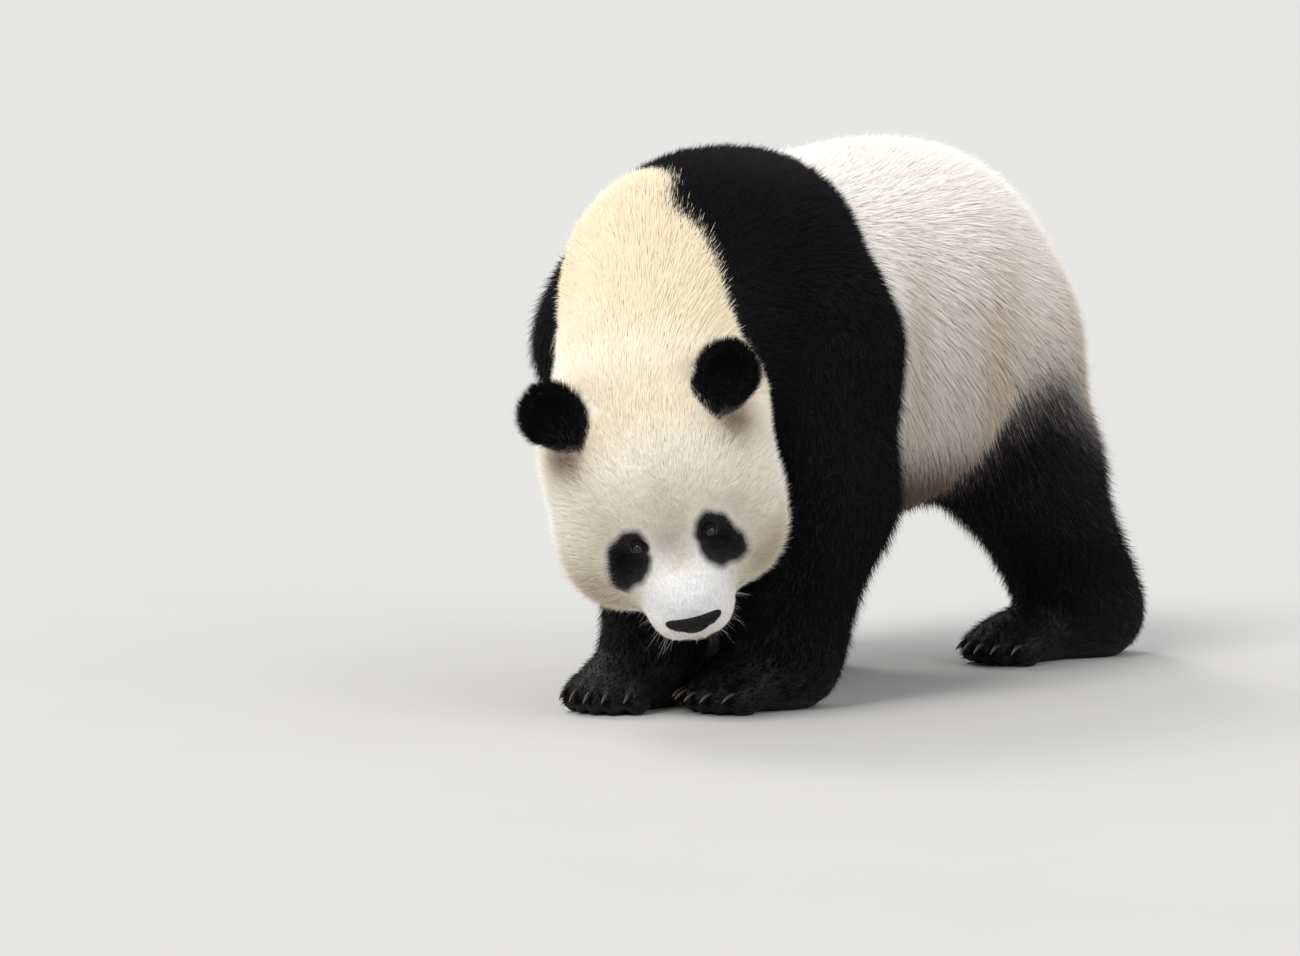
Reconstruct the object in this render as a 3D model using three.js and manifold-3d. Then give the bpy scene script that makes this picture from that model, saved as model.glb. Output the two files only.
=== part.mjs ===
// An adult giant panda in a slow walk with its head held low: a still, life-size model.
//
// Millimetres. The animal faces -Y, its left side is +X, and it stands on z = 0. Its outline
// is the outline of the coat, out to the tips of the hair. The body is one form, blended from
// round masses: the surface is where the blended distance to the masses is zero. Plane cuts
// part that form into head, neck, torso and legs; ears, tail, nose, eyes and claws are
// separate pieces that fit against it.

import * as THREE from 'three';
import { mergeVertices } from 'three/addons/utils/BufferGeometryUtils.js';
import Module from 'manifold-3d';

const wasm = await Module();
wasm.setup();

// ---------------------------------------------------------------- driving dimensions
const GAP = 0.3;                                  // left between neighbouring pieces
const FLOOR = 0;
const SIDES = [1, -1];                            // of the head: its right, then its left
const ORIGIN_BACK = 124;                          // model origin to the middle of the length

// mesh sizes of the blended form
const TORSO_CELL = 45;
const LEG_CELL = 32;
const PAW_CELL = 17;
const NECK_CELL = 38;
const HEAD_CELL = 17;
const EAR_CELL = 12;
const TAIL_CELL = 18;
const NOSE_CELL = 6;
const SETTLE_SHARE = 0.1;                          // of a cell, the most a vertex moves onto the form

// head: where the skull's middle is, and how the face is turned
const HEAD_AT = [74, -548, 318];
const HEAD_YAW = 33;                              // towards the animal's left
const HEAD_PITCH = 48;                            // muzzle down
const HEAD_ROLL = 13.5;

// legs: the axis runs top, bend, end, pad; the pad is the middle of the sole
const LEGS = {
  left_fore: {
    top: [142, -274, 445], bend: [146, -285, 265], end: [119, -324, 95], pad: [97, -368, 40],
    upper: [104, 97], lower: [96, 82], foot: [68, 46], heel: [63, 66, 48], blend: 70, toeOut: -14,
  },
  right_fore: {
    top: [-156, -288, 440], bend: [-86, -326, 260], end: [-27, -398, 92], pad: [-38, -448, 40],
    upper: [112, 90], lower: [86, 67], foot: [60, 46], heel: [54, 58, 48], blend: 70, toeOut: 6,
  },
  left_hind: {
    top: [108, 195, 400], bend: [135, 240, 265], end: [140, 394, 70], pad: [114, 285, 34],
    upper: [124, 106], lower: [100, 82], foot: [58, 36], heel: [64, 82, 50], blend: 90, toeOut: -6,
  },
  right_hind: {
    top: [-105, 165, 400], bend: [-132, 62, 250], end: [-132, 58, 72], pad: [-126, -58, 36],
    upper: [124, 106], lower: [100, 82], foot: [58, 36], heel: [64, 80, 50], blend: 90, toeOut: 8,
  },
};
const BEND_BLEND = 40;
const ANKLE_BLEND = 30;

// feet
const TOES = 5;
const TOE_GAP = 22.5;
const TOE_REACH = 74;                             // middle toe, ahead of the pad's middle
const TOE_ARC = 5.5;                              // outer toes lie further back
const TOE_RADII = [14.5, 30, 24];
const TOE_BLEND = 16;
const CLAW_LENGTH = 27;
const CLAW_RADIUS = 4.8;
const CLAW_DROOP = 50;                            // degrees, base to tip

// where the form is cut
const NECK_CUT_Y = -425;                          // torso from neck
const HEAD_CUT_Y = -75;                           // neck from head, along the head's own axis
const SHOULDER_CUT_Z = 193;                       // leg cut at the middle of the body ...
const SHOULDER_CUT_RISE = 0.75;                   // ... and its rise per mm outwards
const SHOULDER_CUT_OVER = 50;                     // how far it runs past the middle
const WEDGE_WIDTH = 400;
const WEDGE_DEPTH = 150;
const BEND_CUT_Z = 222;                           // upper from lower leg
const PAW_CUT_Z = 92;
const LEG_SPANS = {
  left_fore: [-480, -130], right_fore: [-480, -130],
  left_hind: [90, 520], right_hind: [-70, 520],
};

// face
const FACE_TILT = 36.3;                           // the face leans back from the head's top
const EYE_SIDE = 46.5;
const EYE_UP = -98;                               // along the face, from the skull's middle
const EYE_RADIUS = 11;
const EYE_DEPTH = 8.5;                            // eye's middle below the coat
const LID_THICKNESS = 2.6;
const LID_WIDTH = 18;
const LID_HEIGHT = 11.5;
const GAZE_SHARE = 0.5;                           // how far the eye turns from its seat to the front
const LID_SLANT = 24;                             // outer corner up
const EAR_SIDE = 110;
const EAR_RADIUS = 46;
const EAR_THICKNESS = 54;
const EAR_LEAN = 30;
const EAR_SPLAY = 38;
const EAR_TURN = 14;
const NOSE_AT = [0, 183.5, -75];
const NOSE_RADII = [35, 15, 13];
const NOSE_LOBE = [18, 15, 14];
const NOSTRIL_SIDE = 15;
const NOSTRIL_RADII = [6, 9, 4.5];
const MOUTH_SPAN = 74;                            // degrees either side of the front
const LIP_RADIUS = 5.5;
const MOUTH_RADIUS = 2.4;

// ---------------------------------------------------------------- axes
const vec = (p) => new THREE.Vector3(...p);
const rad = THREE.MathUtils.degToRad;
const X = new THREE.Vector3(1, 0, 0);
const Y = new THREE.Vector3(0, 1, 0);
const Z = new THREE.Vector3(0, 0, 1);
const turn = (axis, degrees) => new THREE.Quaternion().setFromAxisAngle(axis, rad(degrees));

function turns(...list) {
  const result = new THREE.Quaternion();
  for (const step of list) result.multiply(step);
  return result;
}

const WORLD = new THREE.Quaternion();

// the head's own axes: x to its right, y along the muzzle, z to the crown
const LOOK = new THREE.Vector3(Math.sin(rad(HEAD_YAW)), -Math.cos(rad(HEAD_YAW)), 0);
const HEAD_TURN = turns(
  turn(LOOK, HEAD_ROLL),
  turn(Z, 180 + HEAD_YAW),
  turn(X, -HEAD_PITCH),
);
const inHead = (x, y, z) => new THREE.Vector3(x, y, z).applyQuaternion(HEAD_TURN).add(vec(HEAD_AT));
const FACE_OUT = new THREE.Vector3(0, Math.sin(rad(FACE_TILT)), Math.cos(rad(FACE_TILT)));
const FACE_RISE = new THREE.Vector3(0, -Math.cos(rad(FACE_TILT)), Math.sin(rad(FACE_TILT)));

// ---------------------------------------------------------------- masses
// A mass gives the distance from a point to itself, and how softly it blends with the rest.
function ellipsoid(centre, radii, blend, turned = WORLD) {
  const back = turned.clone().invert();
  const [a, b, c] = radii;
  const q = new THREE.Vector3();
  return {
    blend,
    distance(p) {
      q.copy(p).sub(centre).applyQuaternion(back);
      const level = Math.hypot(q.x / a, q.y / b, q.z / c);
      const slope = Math.hypot(q.x / a ** 2, q.y / b ** 2, q.z / c ** 2) + 1e-9;
      return level * (level - 1) / slope;
    },
  };
}

// a straight limb with round ends, tapering from one radius to the other
function limb(start, end, startRadius, endRadius, blend) {
  const axis = new THREE.Line3(start, end);
  const on = new THREE.Vector3();
  return {
    blend,
    distance(p) {
      const t = axis.closestPointToPointParameter(p, true);
      axis.at(t, on);
      return p.distanceTo(on) - THREE.MathUtils.lerp(startRadius, endRadius, t);
    },
  };
}

const scooped = (mass) => ({ ...mass, hollow: true });

function blended(a, b, width) {
  const h = Math.max(width - Math.abs(a - b), 0) / width;
  return Math.min(a, b) - h * h * width / 4;
}

const FAR = 1000;
function fieldOf(masses, grown = 0) {
  return (p) => {
    let value = FAR;
    for (const mass of masses) {
      const d = mass.distance(p);
      value = mass.hollow ? -blended(-value, d, mass.blend) : blended(value, d, mass.blend);
    }
    return value - grown;
  };
}

// ---------------------------------------------------------------- surface of a form
// One vertex in each grid cell that the surface crosses, one quad for each grid edge that it
// crosses. The box is closed on all sides, so a form that leaves it ends there in a flat.
function surfaceOf(field, low, high, cell) {
  const size = low.map((value, axis) => Math.ceil((high[axis] - value) / cell) + 1);
  const [nx, ny, nz] = size;
  const stride = [1, nx, nx * ny];
  const place = (i, j, k) => i + nx * (j + ny * k);
  const values = new Float64Array(nx * ny * nz);
  const p = new THREE.Vector3();
  for (let k = 0; k < nz; k += 1) {
    for (let j = 0; j < ny; j += 1) {
      for (let i = 0; i < nx; i += 1) {
        const edge = i === 0 || j === 0 || k === 0 || i === nx - 1 || j === ny - 1 || k === nz - 1;
        p.set(low[0] + i * cell, low[1] + j * cell, low[2] + k * cell);
        const value = field(p);
        values[place(i, j, k)] = edge ? Math.max(value, cell / 4) : value;
      }
    }
  }
  fillPinches(values, size, stride, cell);
  const positions = [];
  const vertexOf = new Int32Array(nx * ny * nz).fill(-1);
  const corner = [0, 0, 0];
  for (let k = 0; k < nz - 1; k += 1) {
    for (let j = 0; j < ny - 1; j += 1) {
      for (let i = 0; i < nx - 1; i += 1) {
        const sum = [0, 0, 0];
        let crossings = 0;
        const base = place(i, j, k);
        for (let axis = 0; axis < 3; axis += 1) {
          const u = (axis + 1) % 3;
          const w = (axis + 2) % 3;
          for (let side = 0; side < 4; side += 1) {
            const du = side & 1;
            const dw = side >> 1;
            const from = base + du * stride[u] + dw * stride[w];
            const a = values[from];
            const b = values[from + stride[axis]];
            if ((a < 0) === (b < 0)) continue;
            corner[axis] = a / (a - b);
            corner[u] = du;
            corner[w] = dw;
            for (let n = 0; n < 3; n += 1) sum[n] += corner[n];
            crossings += 1;
          }
        }
        if (crossings === 0) continue;
        vertexOf[base] = positions.length / 3;
        const at = [i, j, k];
        for (let n = 0; n < 3; n += 1) positions.push(low[n] + (at[n] + sum[n] / crossings) * cell);
      }
    }
  }
  settle(positions, field, cell, low, high);
  const index = [];
  for (let k = 0; k < nz - 1; k += 1) {
    for (let j = 0; j < ny - 1; j += 1) {
      for (let i = 0; i < nx - 1; i += 1) {
        const at = [i, j, k];
        const from = place(i, j, k);
        for (let axis = 0; axis < 3; axis += 1) {
          const u = (axis + 1) % 3;
          const w = (axis + 2) % 3;
          if (at[u] === 0 || at[w] === 0) continue;
          const inside = values[from] < 0;
          if (inside === (values[from + stride[axis]] < 0)) continue;
          const ring = [from - stride[u] - stride[w], from - stride[w], from, from - stride[u]];
          const quad = ring.map((c) => vertexOf[c]);
          if (!inside) quad.reverse();
          pushQuad(index, quad, positions);
        }
      }
    }
  }
  const geometry = new THREE.BufferGeometry();
  geometry.setAttribute('position', new THREE.Float32BufferAttribute(positions, 3));
  geometry.setIndex(index);
  return geometry;
}

// Where two inside corners of a grid face meet only across its diagonal the surface would
// pinch to an edge, so the outside corner nearer the form is taken in.
function fillPinches(values, size, stride, cell) {
  const taken = -cell / 20;
  let found = true;
  while (found) {
    found = false;
    for (let from = 0; from < values.length; from += 1) {
      const at = [from % size[0], Math.floor(from / size[0]) % size[1], Math.floor(from / stride[2])];
      for (let axis = 0; axis < 3; axis += 1) {
        const u = (axis + 1) % 3;
        const w = (axis + 2) % 3;
        if (at[u] === size[u] - 1 || at[w] === size[w] - 1) continue;
        const ring = [from, from + stride[u], from + stride[u] + stride[w], from + stride[w]];
        const [a, b, c, d] = ring.map((n) => values[n] < 0);
        if (a !== c || b !== d || a === b) continue;
        const outside = a ? [ring[1], ring[3]] : [ring[0], ring[2]];
        outside.sort((m, n) => values[m] - values[n]);
        values[outside[0]] = taken;
        found = true;
      }
    }
  }
}

// moves the vertices onto the form itself; those that close the box at its sides stay
function settle(positions, field, cell, low, high) {
  const p = new THREE.Vector3();
  const step = 1;
  const slope = new THREE.Vector3();
  for (let v = 0; v < positions.length; v += 3) {
    p.fromArray(positions, v);
    const nearSide = low.some((value, axis) => {
      const here = p.getComponent(axis);
      return here < value + 2 * cell || here > high[axis] - 2 * cell;
    });
    if (nearSide) continue;
    for (let axis = 0; axis < 3; axis += 1) {
      const here = p.getComponent(axis);
      p.setComponent(axis, here + step);
      const ahead = field(p);
      p.setComponent(axis, here - step);
      slope.setComponent(axis, (ahead - field(p)) / (2 * step));
      p.setComponent(axis, here);
    }
    const most = cell * SETTLE_SHARE;
    const move = -field(p) / Math.max(slope.lengthSq(), 0.25);
    p.addScaledVector(slope, THREE.MathUtils.clamp(move, -most, most));
    p.toArray(positions, v);
  }
}

// splits a quad along its shorter diagonal
function pushQuad(index, [a, b, c, d], positions) {
  const point = (n) => new THREE.Vector3().fromArray(positions, 3 * n);
  if (point(a).distanceToSquared(point(c)) < point(b).distanceToSquared(point(d))) {
    index.push(a, b, c, a, c, d);
  } else {
    index.push(a, b, d, b, c, d);
  }
}

// ---------------------------------------------------------------- joining and cutting
function solidOf(geometry, matrix = new THREE.Matrix4()) {
  const bare = geometry.clone().applyMatrix4(matrix);
  for (const name of Object.keys(bare.attributes)) {
    if (name !== 'position') bare.deleteAttribute(name);
  }
  const merged = mergeVertices(bare, 1e-4);
  return new wasm.Manifold(new wasm.Mesh({
    numProp: 3,
    vertProperties: new Float32Array(merged.attributes.position.array),
    triVerts: new Uint32Array(merged.index.array),
  }));
}

function largestOf(solid) {
  const pieces = solid.decompose();
  return pieces.reduce((best, piece) => (piece.volume() > best.volume() ? piece : best));
}

function geometryOf(solid) {
  const mesh = solid.getMesh();
  const geometry = new THREE.BufferGeometry();
  geometry.setAttribute('position', new THREE.Float32BufferAttribute(mesh.vertProperties, 3));
  geometry.setIndex([...mesh.triVerts]);
  geometry.computeVertexNormals();
  return geometry;
}

const placed = (position, turned = WORLD, scale = [1, 1, 1]) => (
  new THREE.Matrix4().compose(position, turned, vec(scale)));

// a box between two corners, turned about its own origin and moved
function boxBetween(low, high, position = new THREE.Vector3(), turned = WORLD) {
  const size = vec(high).sub(vec(low));
  const box = new THREE.BoxGeometry(size.x, size.y, size.z);
  box.translate(...vec(low).addScaledVector(size, 0.5).toArray());
  return solidOf(box, placed(position, turned));
}

const BIG = 1500;
const formSolid = (field, low, high, cell) => solidOf(surfaceOf(field, low, high, cell));
const aboveFloor = (solid) => solid.intersect(boxBetween([-BIG, -BIG, FLOOR], [BIG, BIG, BIG]));

// ---------------------------------------------------------------- trunk, neck, legs, tail
const trunk = [
  ellipsoid(vec([0, -190, 455]), [190, 225, 196], 60),      // chest
  ellipsoid(vec([0, 36, 462]), [218, 262, 236], 110),       // barrel
  ellipsoid(vec([0, 196, 464]), [182, 176, 204], 110),      // rump
  ellipsoid(vec([0, -225, 540]), [150, 175, 112], 110),     // withers
  ellipsoid(vec([0, -30, 376]), [178, 250, 160], 90),       // belly
];
const neck = [limb(vec([-18, -302, 506]), inHead(5, -50, 10), 178, 126, 90)];

function padPoint(leg, x, y, z) {
  const out = new THREE.Vector3(x, -y, z).applyQuaternion(turn(Z, leg.toeOut));
  return out.add(new THREE.Vector3(leg.pad[0], leg.pad[1], 0));
}

const toeSide = (n) => n - (TOES - 1) / 2;

function toePoint(leg, n, ahead, z) {
  const side = toeSide(n);
  return padPoint(leg, side * TOE_GAP, TOE_REACH - TOE_ARC * side ** 2 + ahead, z);
}

function legMasses(leg) {
  const [top, bend, end, pad] = [leg.top, leg.bend, leg.end, leg.pad].map(vec);
  const turned = turn(Z, leg.toeOut);
  const masses = [
    limb(top, bend, ...leg.upper, leg.blend),
    limb(bend, end, ...leg.lower, BEND_BLEND),
    limb(end, pad, ...leg.foot, ANKLE_BLEND),
    ellipsoid(padPoint(leg, 0, 20, 32), [55, 62, 38], 25, turned),
    ellipsoid(padPoint(leg, 0, -38, 32), [48, 52, 38], 25, turned),
    ellipsoid(new THREE.Vector3(end.x, end.y, 40), leg.heel, 25, turned),
  ];
  for (let n = 0; n < TOES; n += 1) {
    masses.push(ellipsoid(toePoint(leg, n, 0, 20), TOE_RADII, TOE_BLEND, turned));
  }
  return masses;
}

const legs = {};
for (const [name, leg] of Object.entries(LEGS)) legs[name] = legMasses(leg);
const tail = [
  limb(vec([-9, 346, 522]), vec([-7, 370, 436]), 30, 22, 24),
  limb(vec([9, 346, 522]), vec([7, 370, 436]), 30, 22, 24),
];

// ---------------------------------------------------------------- skull and ears
const skull = [
  ellipsoid(inHead(-3, -10, 8), [131, 122, 116], 60, HEAD_TURN),            // braincase
  ...SIDES.map((s) => ellipsoid(inHead(s * 62 - 1, 48, -60), [80, 82, 84], 50, HEAD_TURN)),  // cheeks
  ellipsoid(inHead(0, 52, 38), [92, 76, 70], 50, HEAD_TURN),                // forehead
  limb(inHead(0, 80, -60), inHead(0, 136, -78), 78, 57, 35),                // muzzle
  ellipsoid(inHead(0, 128, -48), [34, 52, 30], 30, turns(HEAD_TURN, turn(X, -12))),
  ...SIDES.map((s) => ellipsoid(inHead(s * 61 + 1, 60, -104), [57, 56, 45], 36, HEAD_TURN)), // ruff
  ellipsoid(inHead(0, 78, -100), [62, 78, 42], 30, HEAD_TURN),              // jaw
  ...SIDES.map((s) => ellipsoid(inHead(s * 20, 158, -92), [30, 34, 30], 18, HEAD_TURN)),
  ellipsoid(inHead(-2, 142, -125), [31, 35, 21], 14, HEAD_TURN),            // chin
];

const earTurn = (s) => turns(
  HEAD_TURN,
  turn(X, EAR_LEAN),
  turn(Y, s * EAR_SPLAY),
  turn(Z, s * EAR_TURN),
);

function earMasses(s) {
  const turned = earTurn(s);
  const centre = inHead(s * EAR_SIDE, -16, 122);
  const root = inHead(s * 94, 2, 94);
  const cup = new THREE.Vector3(0, 27, 4).applyQuaternion(turned).add(centre);
  return [
    ellipsoid(centre, [EAR_RADIUS, EAR_THICKNESS / 2, EAR_RADIUS], 10, turned),
    ellipsoid(root, [32, 24, 34], 14, turned),
    scooped(ellipsoid(cup, [28, 19, 30], 8, turned)),
  ];
}

// ---------------------------------------------------------------- cutting the form
const pieces = {};
const bodyField = fieldOf([...trunk, ...neck, ...skull, ...Object.values(legs).flat()]);
const headField = fieldOf([...trunk, ...neck, ...skull]);

// the wedge below the slanting cut at the shoulder or hip, over the leg's own stretch
function legCell(name, gap) {
  const s = name.startsWith('left') ? 1 : -1;
  const [front, back] = LEG_SPANS[name];
  const outline = new THREE.Shape();
  const top = (x) => SHOULDER_CUT_Z + SHOULDER_CUT_RISE * x - gap;
  outline.moveTo(-SHOULDER_CUT_OVER, -WEDGE_DEPTH);
  outline.lineTo(WEDGE_WIDTH, -WEDGE_DEPTH);
  outline.lineTo(WEDGE_WIDTH, top(WEDGE_WIDTH));
  outline.lineTo(0, top(0));
  outline.lineTo(-SHOULDER_CUT_OVER, top(0));
  const wedge = new THREE.ExtrudeGeometry(outline, { depth: back - front - 2 * gap, bevelEnabled: false });
  wedge.rotateX(Math.PI / 2);
  wedge.translate(0, back - gap, 0);
  if (s > 0) return solidOf(wedge);
  wedge.rotateZ(Math.PI);
  wedge.translate(0, front + back, 0);
  return solidOf(wedge);
}

let torso = formSolid(bodyField, [-300, -480, 120], [300, 430, 740], TORSO_CELL);
torso = torso.intersect(boxBetween([-BIG, NECK_CUT_Y, -BIG], [BIG, BIG, BIG]));
for (const name of Object.keys(LEGS)) torso = torso.subtract(legCell(name, 0));
pieces.torso = largestOf(torso);

for (const [name, leg] of Object.entries(LEGS)) {
  const [front, back] = LEG_SPANS[name];
  const s = name.startsWith('left') ? 1 : -1;
  const sides = [s > 0 ? -60 : -300, s > 0 ? 300 : 60];
  const upper = formSolid(
    fieldOf([...trunk, ...neck, ...legs[name]]),
    [sides[0], front - 80, 120],
    [sides[1], back + 80, 520],
    LEG_CELL,
  );
  const upperBox = boxBetween([-BIG, -BIG, BEND_CUT_Z + GAP], [BIG, BIG, BIG]);
  const fore = name.endsWith('fore');
  pieces[name + (fore ? '_upper_arm' : '_thigh')] = largestOf(
    upper.intersect(upperBox).intersect(legCell(name, GAP)));

  const low = padPoint(leg, 0, 0, 0).add(vec([-190, -190, -40])).toArray();
  const high = padPoint(leg, 0, 0, 0).add(vec([190, 260, 330])).toArray();
  const limbOnly = fieldOf(legs[name]);
  const lower = formSolid(limbOnly, low, high, LEG_CELL);
  const lowerBox = boxBetween([-BIG, -BIG, PAW_CUT_Z + GAP], [BIG, BIG, BEND_CUT_Z]);
  pieces[name + (fore ? '_forearm' : '_shin')] = largestOf(
    lower.intersect(lowerBox).intersect(legCell(name, GAP)));
  high[2] = 150;
  const paw = formSolid(limbOnly, low, high, PAW_CELL);
  pieces[name + '_paw'] = largestOf(
    paw.intersect(boxBetween([-BIG, -BIG, FLOOR], [BIG, BIG, PAW_CUT_Z])));
}

// neck and head share one form; the head's side of the cut is the side the muzzle points to
const headSide = (y) => boxBetween([-BIG, y, -BIG], [BIG, BIG, BIG], vec(HEAD_AT), HEAD_TURN);
const throat = boxBetween([-BIG, -BIG, -BIG], [BIG, NECK_CUT_Y - GAP, BIG]);
const neckForm = formSolid(headField, [-280, -640, 120], [280, -360, 760], NECK_CELL);
pieces.neck = largestOf(neckForm.intersect(throat).subtract(headSide(HEAD_CUT_Y - GAP)));

let head = formSolid(headField, [-110, -760, 80], [270, -350, 520], HEAD_CELL);
head = largestOf(head.intersect(headSide(HEAD_CUT_Y)).intersect(throat));

// ---------------------------------------------------------------- features of the face
function surfacePoint(field, start, direction) {
  const p = start.clone();
  for (let round = 0; round < 60; round += 1) p.addScaledVector(direction, field(p) * 0.8);
  return p;
}

function slopeAt(field, p) {
  const slope = new THREE.Vector3();
  for (const axis of [X, Y, Z]) {
    const ahead = field(p.clone().add(axis));
    slope.addScaledVector(axis, ahead - field(p.clone().sub(axis)));
  }
  return slope.normalize();
}

const toHead = (direction) => direction.clone().applyQuaternion(HEAD_TURN);

function eyeFrame(s) {
  const start = FACE_RISE.clone().multiplyScalar(EYE_UP).addScaledVector(FACE_OUT, 300);
  const seat = surfacePoint(
    headField, inHead(s * EYE_SIDE, start.y, start.z), toHead(FACE_OUT).negate());
  const slope = slopeAt(headField, seat);
  const out = slope.clone().lerp(toHead(FACE_OUT), GAZE_SHARE).normalize();
  const across = toHead(X).addScaledVector(out, -toHead(X).dot(out)).normalize();
  const rise = new THREE.Vector3().crossVectors(out, across);
  const basis = new THREE.Matrix4().makeBasis(across, rise, out);
  const turned = turns(new THREE.Quaternion().setFromRotationMatrix(basis), turn(Z, -s * LID_SLANT));
  return { centre: seat.addScaledVector(slope, -EYE_DEPTH), turned };
}

// almond between the lids, pushed out along the gaze
function lidOpening({ centre, turned }) {
  const almond = new THREE.Shape();
  almond.moveTo(-LID_WIDTH / 2, 0);
  almond.quadraticCurveTo(0, LID_HEIGHT, LID_WIDTH / 2, 0);
  almond.quadraticCurveTo(0, -LID_HEIGHT, -LID_WIDTH / 2, 0);
  const prism = new THREE.ExtrudeGeometry(almond, { depth: 40, bevelEnabled: false, curveSegments: 5 });
  return solidOf(prism, placed(centre, turned));
}

const ball = (radius) => new THREE.SphereGeometry(radius, 14, 10);
const eyeFrames = SIDES.map(eyeFrame);
for (const [n, frame] of eyeFrames.entries()) {
  const where = placed(frame.centre, frame.turned);
  head = head.add(solidOf(ball(EYE_RADIUS + LID_THICKNESS), where));
  head = head.subtract(solidOf(ball(EYE_RADIUS + GAP), where));
  head = head.subtract(lidOpening(frame));
  pieces[n === 0 ? 'right_eye' : 'left_eye'] = solidOf(ball(EYE_RADIUS), where);
}

// lips: a band round the front of the muzzle, parted by the line of the mouth
function mouthPath(sunk) {
  const middle = inHead(0, 108, -96);
  const points = [];
  const STEPS = 8;
  for (let n = -STEPS; n <= STEPS; n += 1) {
    const angle = rad(MOUTH_SPAN * n / STEPS);
    const dip = -0.16 - 0.12 * Math.cos(2 * angle);
    const direction = toHead(new THREE.Vector3(Math.sin(angle), Math.cos(angle), dip).normalize());
    const start = middle.clone().addScaledVector(direction, 200);
    const p = surfacePoint(headField, start, direction.clone().negate());
    points.push(p.addScaledVector(direction, -sunk));
  }
  return new THREE.CatmullRomCurve3(points);
}

function tubeAlong(path, radius, steps) {
  const ring = new THREE.Shape();
  ring.absarc(0, 0, radius, 0, 2 * Math.PI);
  return solidOf(new THREE.ExtrudeGeometry(ring, {
    steps, extrudePath: path, bevelEnabled: false, curveSegments: 3,
  }));
}

head = head.add(tubeAlong(mouthPath(LIP_RADIUS * 0.55), LIP_RADIUS, 20));
head = head.subtract(tubeAlong(mouthPath(-MOUTH_RADIUS * 0.1), MOUTH_RADIUS, 20));

// the groove from the nose down to the lips
const philtrum = new THREE.LineCurve3(inHead(0, 189, -86), inHead(0, 186, -112));
head = head.subtract(tubeAlong(philtrum, MOUTH_RADIUS, 6));
head = largestOf(head);
pieces.head = head;

// ---------------------------------------------------------------- pieces that fit on the form
// A fitted piece is cut to the surface it sits on and stands off it by the gap.
function fitted(piece, seat, direction) {
  const cut = largestOf(piece.subtract(seat));
  const move = direction.clone().normalize().multiplyScalar(GAP);
  return cut.translate([move.x, move.y, move.z]);
}

for (const s of SIDES) {
  const masses = earMasses(s);
  const middle = inHead(s * EAR_SIDE, -16, 122).toArray();
  const ear = formSolid(
    fieldOf(masses),
    middle.map((value) => value - 90),
    middle.map((value) => value + 90),
    EAR_CELL,
  );
  const away = new THREE.Vector3(0, 0, 1).applyQuaternion(earTurn(s));
  pieces[s > 0 ? 'right_ear' : 'left_ear'] = fitted(ear, head, away);
}

const tailForm = formSolid(fieldOf(tail), [-70, 280, 370], [70, 430, 590], TAIL_CELL);
pieces.tail = fitted(tailForm, pieces.torso, new THREE.Vector3(0, 1, 0.1));

// nose: a broad bare pad with a comma-shaped nostril on each side
const noseMasses = [
  ellipsoid(inHead(...NOSE_AT), NOSE_RADII, 6, HEAD_TURN),
  ellipsoid(inHead(0, NOSE_AT[1] - 1.5, NOSE_AT[2] - 8), NOSE_LOBE, 10, HEAD_TURN),
  ...SIDES.map((s) => scooped(ellipsoid(
    inHead(s * NOSTRIL_SIDE, NOSE_AT[1] + 14.5, NOSE_AT[2] - 5),
    NOSTRIL_RADII, 3, turns(HEAD_TURN, turn(Y, s * 25))))),
];
const noseMiddle = inHead(...NOSE_AT).toArray();
const noseForm = formSolid(
  fieldOf(noseMasses),
  noseMiddle.map((value) => value - 44),
  noseMiddle.map((value) => value + 44),
  NOSE_CELL,
);
pieces.nose = fitted(noseForm, head, toHead(Y));

// claws: cones bent downwards, one on each toe
function clawGeometry() {
  const claw = new THREE.ConeGeometry(CLAW_RADIUS, CLAW_LENGTH, 6, 3);
  claw.translate(0, CLAW_LENGTH / 2, 0);
  const place = claw.attributes.position;
  const p = new THREE.Vector3();
  const bendRadius = CLAW_LENGTH / rad(CLAW_DROOP);
  for (let n = 0; n < place.count; n += 1) {
    p.fromBufferAttribute(place, n);
    const angle = p.y / bendRadius;
    const out = bendRadius + p.z * 1.25;
    place.setXYZ(n, p.x, out * Math.sin(angle), out * Math.cos(angle) - bendRadius);
  }
  return claw;
}

for (const [name, leg] of Object.entries(LEGS)) {
  for (let n = 0; n < TOES; n += 1) {
    const base = toePoint(leg, n, TOE_RADII[1] - 12, 27);
    const turned = turns(turn(Z, leg.toeOut + 180), turn(X, 4));
    const claw = solidOf(clawGeometry(), placed(base, turned));
    const ahead = new THREE.Vector3(0, 1, -0.2).applyQuaternion(turned);
    pieces[`${name}_claw_${n + 1}`] = fitted(claw, pieces[`${name}_paw`], ahead);
  }
}

// ---------------------------------------------------------------- the model
const coat = (colour) => new THREE.MeshStandardMaterial({ color: colour, roughness: 0.9, metalness: 0 });
const MATERIALS = {
  white: coat(0xe9e0cd),
  black: coat(0x17161a),
  leather: new THREE.MeshStandardMaterial({ color: 0x141313, roughness: 0.45, metalness: 0 }),
  eye: new THREE.MeshStandardMaterial({ color: 0x20120c, roughness: 0.08, metalness: 0 }),
  horn: new THREE.MeshStandardMaterial({ color: 0xb9a88c, roughness: 0.45, metalness: 0 }),
};

function materialOf(name) {
  if (name.includes('claw')) return MATERIALS.horn;
  if (name.includes('eye')) return MATERIALS.eye;
  if (name === 'nose') return MATERIALS.leather;
  if (['torso', 'neck', 'head', 'tail'].includes(name)) return MATERIALS.white;
  return MATERIALS.black;
}

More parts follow.
